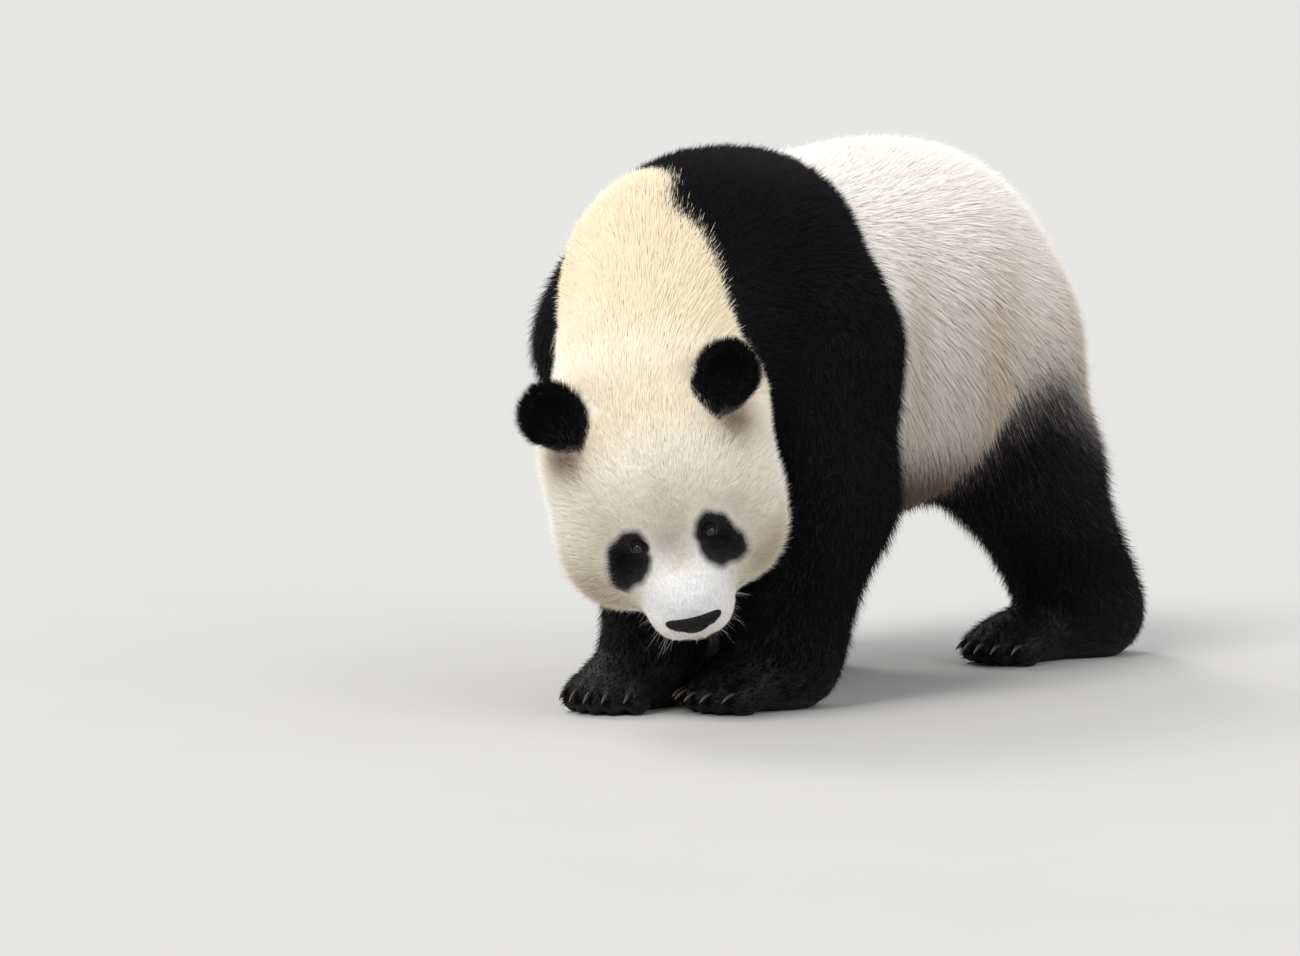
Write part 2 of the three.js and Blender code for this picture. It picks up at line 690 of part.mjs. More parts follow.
const panda = new THREE.Group();
for (const [name, solid] of Object.entries(pieces)) {
  const mesh = new THREE.Mesh(geometryOf(solid), materialOf(name));
  mesh.name = name;
  panda.add(mesh);
}
panda.position.y = ORIGIN_BACK;
panda.updateMatrixWorld(true);

export default panda;
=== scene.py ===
import math

import bmesh
import bpy
import numpy as np
from mathutils import Matrix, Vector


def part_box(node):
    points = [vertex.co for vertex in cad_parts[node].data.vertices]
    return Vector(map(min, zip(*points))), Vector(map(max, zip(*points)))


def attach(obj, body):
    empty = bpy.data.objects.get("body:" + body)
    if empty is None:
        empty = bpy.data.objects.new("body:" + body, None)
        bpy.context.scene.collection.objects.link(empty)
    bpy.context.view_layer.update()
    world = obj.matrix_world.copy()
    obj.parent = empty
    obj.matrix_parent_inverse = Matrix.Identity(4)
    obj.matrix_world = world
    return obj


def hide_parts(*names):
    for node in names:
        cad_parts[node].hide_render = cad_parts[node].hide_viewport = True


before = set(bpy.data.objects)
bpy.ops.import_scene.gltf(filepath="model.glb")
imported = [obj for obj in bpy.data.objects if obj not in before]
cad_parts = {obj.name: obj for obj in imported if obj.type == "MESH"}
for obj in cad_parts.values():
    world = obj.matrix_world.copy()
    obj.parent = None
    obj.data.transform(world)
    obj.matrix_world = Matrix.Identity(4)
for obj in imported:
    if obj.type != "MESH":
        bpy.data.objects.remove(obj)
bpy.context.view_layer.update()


# ---------------------------------------------------------------- camera
# A long lens on a tripod a few metres off, a little above the animal's back, looking at its
# left front. The view is set out from the near forepaw.
VIEW_WIDTH = 1300
VIEW_HEIGHT = 956
FOCAL_PIXELS = 7200.0
SENSOR_WIDTH = 36.0
VIEW_AZIMUTH = math.radians(33.0)
VIEW_ELEVATION = math.radians(5.0)
CAMERA_DISTANCE = 9.0
CLIP_END = 500.0
FOREPAW = np.array([0.090, -0.236, 0.0])
FOREPAW_PIXEL = (750.0, 708.0)

camera_back = np.array([
    math.sin(VIEW_AZIMUTH) * math.cos(VIEW_ELEVATION),
    -math.cos(VIEW_AZIMUTH) * math.cos(VIEW_ELEVATION),
    math.sin(VIEW_ELEVATION),
])
camera_right = np.cross([0.0, 0.0, 1.0], camera_back)
camera_right /= np.linalg.norm(camera_right)
camera_up = np.cross(camera_back, camera_right)
metres_per_pixel = CAMERA_DISTANCE / FOCAL_PIXELS
camera_at = (
    FOREPAW
    + camera_back * CAMERA_DISTANCE
    - camera_right * (FOREPAW_PIXEL[0] - VIEW_WIDTH / 2) * metres_per_pixel
    + camera_up * (FOREPAW_PIXEL[1] - VIEW_HEIGHT / 2) * metres_per_pixel
)


def placed_at(at, right, up, back):
    """Where an object stands, from its place and its own three axes."""
    return Matrix([[right[n], up[n], back[n], at[n]] for n in range(3)] + [[0.0, 0.0, 0.0, 1.0]])


camera_data = bpy.data.cameras.new("camera")
camera_data.sensor_width = SENSOR_WIDTH
camera_data.lens = FOCAL_PIXELS / VIEW_WIDTH * SENSOR_WIDTH
camera_data.clip_end = CLIP_END
camera = bpy.data.objects.new("camera", camera_data)
bpy.context.scene.collection.objects.link(camera)
camera.matrix_world = placed_at(camera_at, camera_right, camera_up, camera_back)
bpy.context.scene.camera = camera
bpy.context.scene.view_settings.view_transform = "Standard"


# ---------------------------------------------------------------- floor and light
# A plain pale studio floor under broad soft lamps: the main one high in front on the left, one
# behind that rims the neck and back, a weak one on the right, and an even pale sky.
FLOOR_HALF = 120.0
FLOOR_COLOUR = (0.52, 0.51, 0.49)
SKY_COLOUR = (0.93, 0.96, 1.0)
SKY_STRENGTH = 0.75
LAMP_DISTANCE = 6.0


def mesh_object(name, points, faces):
    mesh = bpy.data.meshes.new(name)
    mesh.from_pydata([tuple(p) for p in points], [], [tuple(f) for f in faces])
    mesh.update()
    piece = bpy.data.objects.new(name, mesh)
    bpy.context.scene.collection.objects.link(piece)
    return piece


def new_material(name, roughness, specular=0.5):
    material = bpy.data.materials.new(name)
    material.use_nodes = True
    shader = material.node_tree.nodes["Principled BSDF"]
    shader.inputs["Roughness"].default_value = roughness
    shader.inputs["Specular IOR Level"].default_value = specular
    return material, material.node_tree, shader


def add_noise(tree, scale, detail=4.0):
    """A grain through the whole object, from 0 to 1."""
    where = tree.nodes.new("ShaderNodeTexCoord")
    noise = tree.nodes.new("ShaderNodeTexNoise")
    noise.inputs["Scale"].default_value = scale
    noise.inputs["Detail"].default_value = detail
    tree.links.new(where.outputs["Object"], noise.inputs["Vector"])
    return noise.outputs["Fac"]


def add_colour(tree, colour):
    source = tree.nodes.new("ShaderNodeRGB")
    source.outputs[0].default_value = (*colour, 1.0)
    return source.outputs[0]


def add_attribute(tree, name, output="Fac"):
    """What a mesh holds at each of its points under this name."""
    source = tree.nodes.new("ShaderNodeAttribute")
    source.attribute_name = name
    return source.outputs[output]


def add_ramp(tree, factor, low, high):
    """Turns a 0..1 factor into a number between low and high."""
    scaled = tree.nodes.new("ShaderNodeMapRange")
    scaled.inputs["To Min"].default_value = low
    scaled.inputs["To Max"].default_value = high
    tree.links.new(factor, scaled.inputs["Value"])
    return scaled.outputs["Result"]


def add_bump(tree, shader, height, strength, distance):
    bump = tree.nodes.new("ShaderNodeBump")
    bump.inputs["Strength"].default_value = strength
    bump.inputs["Distance"].default_value = distance
    tree.links.new(height, bump.inputs["Height"])
    tree.links.new(bump.outputs["Normal"], shader.inputs["Normal"])


def multiplied(tree, colour, factor):
    """Colour times a number, both from sockets."""
    product = tree.nodes.new("ShaderNodeVectorMath")
    product.operation = "SCALE"
    tree.links.new(colour, product.inputs[0])
    tree.links.new(factor, product.inputs["Scale"])
    return product.outputs["Vector"]


def add_grain(tree, shader, colour, grain, tones, roughness):
    """A colour that a grain makes lighter and darker, and a surface it makes rougher."""
    toned = multiplied(tree, colour, add_ramp(tree, grain, *tones))
    tree.links.new(toned, shader.inputs["Base Color"])
    tree.links.new(add_ramp(tree, grain, *roughness), shader.inputs["Roughness"])


floor = mesh_object(
    "floor",
    [(-FLOOR_HALF, -FLOOR_HALF, 0), (FLOOR_HALF, -FLOOR_HALF, 0),
     (FLOOR_HALF, FLOOR_HALF, 0), (-FLOOR_HALF, FLOOR_HALF, 0)],
    [(0, 1, 2, 3)],
)
floor_paint, tree, shader = new_material("floor_paint", 0.75, 0.3)
patches = add_noise(tree, 3.0)
add_grain(tree, shader, add_colour(tree, FLOOR_COLOUR), patches, (0.97, 1.03), (0.70, 0.80))
floor.data.materials.append(floor_paint)

world = bpy.data.worlds.new("studio")
world.use_nodes = True
world.node_tree.nodes["Background"].inputs["Color"].default_value = (*SKY_COLOUR, 1.0)
world.node_tree.nodes["Background"].inputs["Strength"].default_value = SKY_STRENGTH
bpy.context.scene.world = world


def soft_lamp(name, azimuth, elevation, spread, strength, colour):
    """A broad far lamp that shines on the animal from one side."""
    light = bpy.data.lights.new(name, "SUN")
    light.angle = math.radians(spread)
    light.energy = strength
    light.color = colour
    lamp = bpy.data.objects.new(name, light)
    a, e = math.radians(azimuth), math.radians(elevation)
    out = np.array([math.sin(a) * math.cos(e), -math.cos(a) * math.cos(e), math.sin(e)])
    side = np.cross([0.0, 0.0, 1.0], out)
    side /= np.linalg.norm(side)
    lamp.matrix_world = placed_at(out * LAMP_DISTANCE, side, np.cross(out, side), out)
    bpy.context.scene.collection.objects.link(lamp)


soft_lamp("key_light", 0, 45, 24, 2.3, (1.0, 0.985, 0.965))
soft_lamp("rim_light", -115, 44, 20, 0.9, (1.0, 0.99, 0.98))
soft_lamp("fill_light", 80, 34, 40, 0.52, (0.98, 0.985, 1.0))


# ---------------------------------------------------------------- skin
# The hide of head, body and legs in one piece, drawn over the flesh and lying under the coat
# by the coat's depth. It grows bare only at the nose, the lids, the lips and the soles.
# Sizes are in millimetres in the animal's own axes, and become metres when the mesh is made.
ORIGIN_BACK = 124.0
HEAD_AT = np.array([74.0, -548.0, 318.0])
HEAD_YAW = 33.0
HEAD_PITCH = 48.0
HEAD_ROLL = 13.5
FACE_TILT = math.radians(36.3)
SIDES = (1, -1)
SIDE_NAMES = {1: "right", -1: "left"}


def turned_about(axis, degrees):
    x, y, z = np.asarray(axis, float) / np.linalg.norm(axis)
    cross = np.array([[0, -z, y], [z, 0, -x], [-y, x, 0]])
    angle = math.radians(degrees)
    return np.eye(3) + math.sin(angle) * cross + (1 - math.cos(angle)) * (cross @ cross)


X_AXIS, Y_AXIS, Z_AXIS = np.eye(3)
look = np.array([math.sin(math.radians(HEAD_YAW)), -math.cos(math.radians(HEAD_YAW)), 0.0])
HEAD_TURN = (
    turned_about(look, HEAD_ROLL)
    @ turned_about(Z_AXIS, 180 + HEAD_YAW)
    @ turned_about(X_AXIS, -HEAD_PITCH)
)
FACE_OUT = np.array([0.0, math.sin(FACE_TILT), math.cos(FACE_TILT)])
FACE_RISE = np.array([0.0, -math.cos(FACE_TILT), math.sin(FACE_TILT)])


def in_head(x, y, z):
    return HEAD_AT + HEAD_TURN @ np.array([x, y, z], float)


def round_mass(centre, radii, blend, turned=np.eye(3), hollow=False):
    centre, radii = np.asarray(centre, float), np.asarray(radii, float)

    def distance(points):
        q = (points - centre) @ turned
        level = np.sqrt(((q / radii) ** 2).sum(1))
        slope = np.sqrt(((q / radii ** 2) ** 2).sum(1)) + 1e-9
        return level * (level - 1) / slope
    return dict(distance=distance, blend=blend, middle=centre, reach=radii.max(), hollow=hollow)


def limb_mass(start, end, start_radius, end_radius, blend):
    start, end = np.asarray(start, float), np.asarray(end, float)
    axis = end - start

    def distance(points):
        t = np.clip((points - start) @ axis / (axis @ axis), 0, 1)
        gap = np.sqrt(((points - start - t[:, None] * axis) ** 2).sum(1))
        return gap - (start_radius + t * (end_radius - start_radius))
    reach = np.linalg.norm(axis) / 2 + max(start_radius, end_radius)
    return dict(distance=distance, blend=blend, middle=(start + end) / 2, reach=reach, hollow=False)


def smooth_least(a, b, width):
    h = np.maximum(width - np.abs(a - b), 0) / width
    return np.minimum(a, b) - h * h * width / 4


FAR = 400.0
NEAR = 130.0


def blended(masses, points, value=None):
    value = np.full(len(points), FAR) if value is None else value.copy()
    for mass in masses:
        near = ((points - mass["middle"]) ** 2).sum(1) < (mass["reach"] + NEAR) ** 2
        d = mass["distance"](points[near])
        if mass["hollow"]:
            value[near] = -smooth_least(-value[near], d, mass["blend"])
        else:
            value[near] = smooth_least(value[near], d, mass["blend"])
    return value


TRUNK = [
    round_mass((0, -190, 455), (190, 225, 196), 60),
    round_mass((0, 36, 462), (218, 262, 236), 110),
    round_mass((0, 196, 464), (182, 176, 204), 110),
    round_mass((0, -225, 540), (150, 175, 112), 110),
    round_mass((0, -30, 376), (178, 250, 160), 90),
]
NECK_START = np.array([-18.0, -302.0, 506.0])
NECK_END = in_head(5, -50, 10)
NECK = [limb_mass(NECK_START, NECK_END, 178, 126, 90)]
TAIL = [limb_mass((s * 9, 346, 522), (s * 7, 370, 436), 30, 22, 24) for s in (-1, 1)]
SKULL = [
    round_mass(in_head(-3, -10, 8), (131, 122, 116), 60, HEAD_TURN),
    *[round_mass(in_head(s * 62 - 1, 48, -60), (80, 82, 84), 50, HEAD_TURN) for s in SIDES],
    round_mass(in_head(0, 52, 38), (92, 76, 70), 50, HEAD_TURN),
    limb_mass(in_head(0, 80, -60), in_head(0, 136, -78), 78, 57, 35),
    round_mass(in_head(0, 128, -48), (34, 52, 30), 30, HEAD_TURN @ turned_about(X_AXIS, -12)),
    *[round_mass(in_head(s * 61 + 1, 60, -104), (57, 56, 45), 36, HEAD_TURN) for s in SIDES],
    round_mass(in_head(0, 78, -100), (62, 78, 42), 30, HEAD_TURN),
    *[round_mass(in_head(s * 20, 158, -92), (30, 34, 30), 18, HEAD_TURN) for s in SIDES],
    round_mass(in_head(-2, 142, -125), (31, 35, 21), 14, HEAD_TURN),
]


def ear_turn(s):
    tilted = HEAD_TURN @ turned_about(X_AXIS, 30) @ turned_about(Y_AXIS, s * 38)
    return tilted @ turned_about(Z_AXIS, s * 14)


def ear_masses(s):
    centre = in_head(s * 110, -16, 122)
    return [
        round_mass(centre, (46, 27, 46), 10, ear_turn(s)),
        round_mass(in_head(s * 94, 2, 94), (32, 24, 34), 14, ear_turn(s)),
        round_mass(centre + ear_turn(s) @ np.array([0, 27, 4]), (28, 19, 30), 8, ear_turn(s), True),
    ]


EARS = {s: ear_masses(s) for s in SIDES}
# shoulder or hip, elbow or knee, heel and pad; then the radii from the top down
LEGS = {
    "left_fore": dict(
        top=(142, -274, 445), bend=(146, -285, 265), end=(119, -324, 95), pad=(97, -368),
        upper=(104, 97), lower=(96, 82), foot=(68, 46), heel=(63, 66, 48), blend=70, toe_out=-14),
    "right_fore": dict(
        top=(-156, -288, 440), bend=(-86, -326, 260), end=(-27, -398, 92), pad=(-38, -448),
        upper=(112, 90), lower=(86, 67), foot=(60, 46), heel=(54, 58, 48), blend=70, toe_out=6),
    "left_hind": dict(
        top=(108, 195, 400), bend=(135, 240, 265), end=(140, 394, 70), pad=(114, 285),
        upper=(124, 106), lower=(100, 82), foot=(58, 36), heel=(64, 82, 50), blend=90, toe_out=-6),
    "right_hind": dict(
        top=(-105, 165, 400), bend=(-132, 62, 250), end=(-132, 58, 72), pad=(-126, -58),
        upper=(124, 106), lower=(100, 82), foot=(58, 36), heel=(64, 80, 50), blend=90, toe_out=8),
}
TOES = 5
TOE_GAP = 22.5
TOE_REACH = 74.0
TOE_ARC = 5.5
TOE_RADII = (14.5, 30, 24)
TOE_HEIGHT = 20
TOE_BLEND = 16
FOOT_BLEND = 25
# the ball of the foot and its heel: how far ahead of the pad's middle, and their radii
SOLE_FORMS = ((20, (55, 62, 38)), (-38, (48, 52, 38)))
SOLE_HEIGHT = 32
HEEL_HEIGHT = 40
PAD_HEIGHT = {"left_fore": 40, "right_fore": 40, "left_hind": 34, "right_hind": 36}


def pad_point(leg, x, ahead, z):
    offset = turned_about(Z_AXIS, leg["toe_out"]) @ np.array([x, -ahead, z], float)
    return offset + np.array([*leg["pad"], 0.0])


def toe_point(leg, n, ahead, z):
    side = n - (TOES - 1) / 2
    return pad_point(leg, side * TOE_GAP, TOE_REACH - TOE_ARC * side ** 2 + ahead, z)


def leg_masses(name, leg):
    turned = turned_about(Z_AXIS, leg["toe_out"])
    pad = (*leg["pad"], PAD_HEIGHT[name])
    masses = [
        limb_mass(leg["top"], leg["bend"], *leg["upper"], leg["blend"]),
        limb_mass(leg["bend"], leg["end"], *leg["lower"], 40),
        limb_mass(leg["end"], pad, *leg["foot"], 30),
    ]
    for ahead, radii in SOLE_FORMS:
        masses.append(round_mass(pad_point(leg, 0, ahead, SOLE_HEIGHT), radii, FOOT_BLEND, turned))
    masses.append(round_mass((*leg["end"][:2], HEEL_HEIGHT), leg["heel"], FOOT_BLEND, turned))
    for n in range(TOES):
        masses.append(round_mass(toe_point(leg, n, 0, TOE_HEIGHT), TOE_RADII, TOE_BLEND, turned))
    return masses


LEG_MASSES = {name: leg_masses(name, leg) for name, leg in LEGS.items()}
GROUPS = ["trunk", "neck", "head", "left_ear", "right_ear", "tail", *LEGS]
GROUP_MASSES = {
    "trunk": TRUNK, "neck": NECK, "head": SKULL, "tail": TAIL,
    "left_ear": EARS[-1], "right_ear": EARS[1], **LEG_MASSES,
}
COAT_DEPTH = {
    "trunk": 13.0, "neck": 12.0, "head": 6.5, "left_ear": 9.0, "right_ear": 9.0, "tail": 9.0,
    "left_fore": 10.0, "right_fore": 10.0, "left_hind": 11.0, "right_hind": 11.0,
}
COAT_LENGTH = {
    "trunk": 31.0, "neck": 24.0, "head": 15.0, "left_ear": 16.0, "right_ear": 16.0, "tail": 30.0,
    "left_fore": 26.0, "right_fore": 26.0, "left_hind": 27.0, "right_hind": 27.0,
}
GROUP_SPREAD = 22.0
NOSE_TIP = np.array([0.0, 196.0, -72.0])
MUZZLE_DEPTH = 2.4
MUZZLE_FADE = (60, 150)             # from the nose: where the muzzle ends and the face begins
PAW_DEPTH = 4.0
PAW_FADE = (45, 130)                # from the ground: where the paw ends and the leg begins
EAR_BLEND = 9.0
TAIL_BLEND = 24.0


def eased(value, low, high):
    t = np.clip((value - low) / (high - low), 0, 1)
    return t * t * (3 - 2 * t)


def group_distances(points):
    return np.stack([blended(GROUP_MASSES[name], points) for name in GROUPS], 1)


def group_weights(distances):
    weights = np.exp(-(distances - distances.min(1, keepdims=True)) / GROUP_SPREAD)
    return weights / weights.sum(1, keepdims=True)


def by_group(values, weights):
    return weights @ np.array([values[name] for name in GROUPS])


def share_of(names, weights):
    return by_group({name: float(name in names) for name in GROUPS}, weights)


def head_coordinates(points):
    return (points - HEAD_AT) @ HEAD_TURN


def coat_depth(points, weights):
    """How far the skin lies under the tips of the coat: least on the muzzle, toes and soles."""
    depth = by_group(COAT_DEPTH, weights)
    head_share = share_of(["head"], weights)
    from_nose = np.linalg.norm(head_coordinates(points) - NOSE_TIP, axis=1)
    muzzle = head_share * (1 - eased(from_nose, *MUZZLE_FADE))
    depth = depth * (1 - muzzle) + MUZZLE_DEPTH * muzzle
    leg_share = share_of(LEGS, weights)
    paw = leg_share * (1 - eased(points[:, 2], *PAW_FADE))
    return depth * (1 - paw) + PAW_DEPTH * paw


def coat_outline(points):
    """Distance to the outline of the coat, out to the tips of the hair."""
    core = blended(TRUNK + NECK, points)
    whole = blended(SKULL, points, core)
    for s in SIDES:
        whole = smooth_least(whole, blended(EARS[s], points), EAR_BLEND)
    for name in LEGS:
        whole = np.minimum(whole, blended(LEG_MASSES[name], points, core))
    return smooth_least(whole, blended(TAIL, points), TAIL_BLEND)


SOLE = 0.8


def skin_field(points):
    weights = group_weights(group_distances(points))
    under = coat_outline(points) + coat_depth(points, weights)
    return np.maximum(under, SOLE - points[:, 2])


def slope_of(field, points, step=1.0):
    slope = np.empty_like(points)
    for axis in range(3):
        ahead = np.zeros(3)
        ahead[axis] = step
        slope[:, axis] = (field(points + ahead) - field(points - ahead)) / (2 * step)
    return slope


STRIDE = 4                          # cells from one rough sample of a field to the next
ROUGH_MARGIN = 2.2                  # in strides: how near a surface the fine samples begin


def surface_of(field, low, high, cell):
    """Faces on the surface where the field is zero: one point in each cell that it crosses."""
    counts = np.ceil((np.array(high) - low) / cell).astype(int) + 1
    axes = [low[a] + cell * np.arange(counts[a]) for a in range(3)]
    coarse = [axis[::STRIDE] for axis in axes]
    grid = np.stack(np.meshgrid(*coarse, indexing="ij"), -1)
    rough = field(grid.reshape(-1, 3)).reshape(grid.shape[:3])
    near = np.abs(rough) < cell * STRIDE * ROUGH_MARGIN
    values = np.empty(counts)
    nearest = [(np.arange(counts[a]) + STRIDE // 2) // STRIDE for a in range(3)]
    blocks = [np.minimum(nearest[a], len(coarse[a]) - 1) for a in range(3)]
    values[:] = rough[np.ix_(*blocks)]
    fine = near[np.ix_(*blocks)]
    where = np.argwhere(fine)
    at = np.stack([axes[a][where[:, a]] for a in range(3)], 1)
    values[fine] = np.concatenate([field(part) for part in np.array_split(at, 8)])

    inside = values < 0
    shape = np.array(values.shape) - 1
    corners = [(i, j, k) for i in (0, 1) for j in (0, 1) for k in (0, 1)]
    filled = sum(
        inside[i:i + shape[0], j:j + shape[1], k:k + shape[2]].astype(np.int8)
        for i, j, k in corners)
    crossed = (filled > 0) & (filled < 8)
    cells = np.argwhere(crossed)
    number = np.full(crossed.shape, -1, np.int64)
    number[crossed] = np.arange(len(cells))
    total = np.zeros((len(cells), 3))
    hits = np.zeros(len(cells))
    quads = []
    for axis in range(3):
        others = [a for a in range(3) if a != axis]
        for du in (0, 1):
            for dw in (0, 1):
                start = cells.copy()
                start[:, others[0]] += du
                start[:, others[1]] += dw
                end = start.copy()
                end[:, axis] += 1
                a, b = values[tuple(start.T)], values[tuple(end.T)]
                hit = (a < 0) != (b < 0)
                share = np.where(hit, a / np.where(hit, a - b, 1), 0)
                p = np.stack([axes[n][start[:, n]] for n in range(3)], 1)
                p[:, axis] += share * cell
                total += p * hit[:, None]
                hits += hit
        here = np.take(inside, range(0, values.shape[axis] - 1), axis)
        there = np.take(inside, range(1, values.shape[axis]), axis)
        edges = np.argwhere(here != there)
        u, w = others
        along, across = edges[:, u], edges[:, w]
        edges = edges[(along > 0) & (across > 0) & (along < shape[u]) & (across < shape[w])]
        outward = here[tuple(edges.T)]
        if axis == 1:
            outward = ~outward
        ring = []
        for du, dw in ((-1, -1), (0, -1), (0, 0), (-1, 0)):
            cell_at = edges.copy()
            cell_at[:, u] += du
            cell_at[:, w] += dw
            ring.append(number[tuple(cell_at.T)])
        ring = np.stack(ring, 1)
        ring[~outward] = ring[~outward][:, ::-1]
        quads.append(ring)
    return total / hits[:, None], np.concatenate(quads)


def settled(field, points, most):
    """Moves points onto the surface of the field in two rounds, by at most so much a round."""
    points = points.copy()
    for _ in range(2):
        slope = slope_of(field, points)
        move = -field(points) / np.maximum((slope ** 2).sum(1), 0.25)
        step = slope * move[:, None]
        length = np.linalg.norm(step, axis=1, keepdims=True)
        points += step * np.minimum(1, most / np.maximum(length, 1e-9))
    return points


SKIN_CELL = 8.0
SKIN_LOW = np.array([-280.0, -745.0, -14.0])
SKIN_HIGH = (280, 500, 735)
skin_points, skin_quads = surface_of(skin_field, SKIN_LOW, SKIN_HIGH, SKIN_CELL)
skin_points = settled(skin_field, skin_points, 2.5)
MILLIMETRE = 0.001


def in_metres(points):
    return (np.asarray(points) + [0.0, ORIGIN_BACK, 0.0]) * MILLIMETRE


def in_body(points):
    """From metres back to the animal's own millimetres."""
    return np.asarray(points) * 1000.0 - [0.0, ORIGIN_BACK, 0.0]


def gathered(members, field, width=1, kind=np.float64):
    """One value, or one row of them, of each member of a mesh."""
    values = np.empty(len(members) * width, kind)
    members.foreach_get(field, values)
    return values.reshape(-1, width) if width > 1 else values


def put_points(mesh, points):
    mesh.vertices.foreach_set("co", points.ravel())
    mesh.update()


# the face is meshed finer than the body: each quad of it is cut in four each way
FACE_CUTS = 3
FACE_FROM = 88.0
FACE_HALF_WIDTH = 100.0
face_mesh = bmesh.new()
face_corners = [face_mesh.verts.new(p) for p in skin_points]
for quad in skin_quads:
    face_mesh.faces.new([face_corners[n] for n in quad])
face_mesh.verts.index_update()
middle = head_coordinates(skin_points[skin_quads].mean(1))
on_face = (middle[:, 1] > FACE_FROM) & (np.abs(middle[:, 0]) < FACE_HALF_WIDTH)
face_mesh.faces.ensure_lookup_table()
face_edges = {edge for n in np.flatnonzero(on_face) for edge in face_mesh.faces[n].edges}
bmesh.ops.subdivide_edges(face_mesh, edges=list(face_edges), cuts=FACE_CUTS, use_grid_fill=True)
bmesh.ops.triangulate(face_mesh, faces=[f for f in face_mesh.faces if len(f.verts) > 4])
skin_data = bpy.data.meshes.new("panda_skin")
face_mesh.to_mesh(skin_data)
face_mesh.free()
skin_points = settled(skin_field, gathered(skin_data.vertices, "co", 3), 1.5)

# where each eye sits: its middle, and its own axes across, up and out along the gaze
GAZE_SHARE = 0.5
LID_SLANT = 24.0


def head_form(points):
    return blended(TRUNK + NECK + SKULL, points)


def eye_seat(s):
    low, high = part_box(f"{SIDE_NAMES[s]}_eye")
    centre = in_body((np.array(low) + np.array(high)) / 2)
    slope = slope_of(head_form, centre[None])[0]
    out = slope / np.linalg.norm(slope) * (1 - GAZE_SHARE) + HEAD_TURN @ FACE_OUT * GAZE_SHARE
    out /= np.linalg.norm(out)
    across = out * (HEAD_TURN[:, 0] @ out) - HEAD_TURN[:, 0]
    across /= np.linalg.norm(across)
    axes = np.stack([across, np.cross(out, across), out], 1)
    return centre, axes @ turned_about(Z_AXIS, -s * LID_SLANT)


EYES = {s: eye_seat(s) for s in SIDES}


def onto_skin(start, direction):
    """Moves points along a direction until they meet the hide."""
    p = start.copy()
    for _ in range(40):
        p += direction * skin_field(p)[:, None] * 0.8
    return p


def distance_to_path(points, path):
    nearest = np.full(len(points), FAR)
    for a, b in zip(path[:-1], path[1:]):
        axis = b - a
        t = np.clip((points - a) @ axis / (axis @ axis), 0, 1)
        nearest = np.minimum(nearest, np.linalg.norm(points - a - t[:, None] * axis, axis=1))
    return nearest


# the line of the mouth, from one corner round the front of the muzzle to the other
MOUTH_SPAN = 74.0
mouth_angles = np.radians(np.linspace(-MOUTH_SPAN, MOUTH_SPAN, 33))
mouth_out = np.stack([
    np.sin(mouth_angles), np.cos(mouth_angles), -0.16 - 0.12 * np.cos(2 * mouth_angles)], 1)
mouth_out = (mouth_out / np.linalg.norm(mouth_out, axis=1, keepdims=True)) @ HEAD_TURN.T
MOUTH_LINE = onto_skin(in_head(0, 108, -96) + mouth_out * 100, -mouth_out)
PHILTRUM = onto_skin(
    np.stack([in_head(0, 215, z) for z in np.linspace(-84, -108, 7)]), -HEAD_TURN[:, 1])

put_points(skin_data, skin_points)
skin_normals = gathered(skin_data.vertices, "normal", 3)
from_mouth = distance_to_path(skin_points, MOUTH_LINE)
from_philtrum = distance_to_path(skin_points, PHILTRUM)
from_eye = np.min([np.linalg.norm(skin_points - EYES[s][0], axis=1) for s in SIDES], 0)
in_face = head_coordinates(skin_points)
LIP_SWELL, LIP_OUT, LIP_WIDTH = 1.6, 4.5, 2.6
MOUTH_DEPTH, MOUTH_WIDTH = 4.0, 1.7
PHILTRUM_DEPTH, PHILTRUM_WIDTH = 2.0, 1.5
# shallow folds across the bridge of the muzzle
FOLD_HEIGHT, FOLD_AT, FOLD_LENGTH, FOLD_HALF_WIDTH, FOLD_TURNS = 0.5, 120, 15, 17, 0.75
swell = LIP_SWELL * np.exp(-((from_mouth - LIP_OUT) / LIP_WIDTH) ** 2)
groove = (
    MOUTH_DEPTH * np.exp(-(from_mouth / MOUTH_WIDTH) ** 2)
    + PHILTRUM_DEPTH * np.exp(-(from_philtrum / PHILTRUM_WIDTH) ** 2))
bridge_across = np.exp(-(in_face[:, 0] / FOLD_HALF_WIDTH) ** 2)
bridge_rise = in_face @ FACE_RISE + FOLD_AT
folds = FOLD_HEIGHT * bridge_across * np.exp(-(bridge_rise / FOLD_LENGTH) ** 2)
folds *= np.sin(bridge_rise * FOLD_TURNS) * (in_face[:, 1] > 90)
skin_points = skin_points + skin_normals * (swell - groove + folds)[:, None]
# the socket: inside the lids the hide sinks behind the eye
SOCKET_FLOOR = 2.0
SOCKET_FULL_DEPTH = 7.5
SOCKET_RADIUS = 11.8
for s in SIDES:
    at_eye = (skin_points - EYES[s][0]) @ EYES[s][1]
    from_axis = np.hypot(at_eye[:, 0], at_eye[:, 1])
    inside_lids = 1 - eased(from_axis, SOCKET_FULL_DEPTH, SOCKET_RADIUS)
    inside_lids *= np.abs(at_eye[:, 2]) < 30
    sunk = np.maximum(at_eye[:, 2] - SOCKET_FLOOR, 0) * inside_lids
    skin_points = skin_points - sunk[:, None] * EYES[s][1][:, 2]
skin_points[:, 2] = np.maximum(skin_points[:, 2], SOLE)
put_points(skin_data, skin_points)


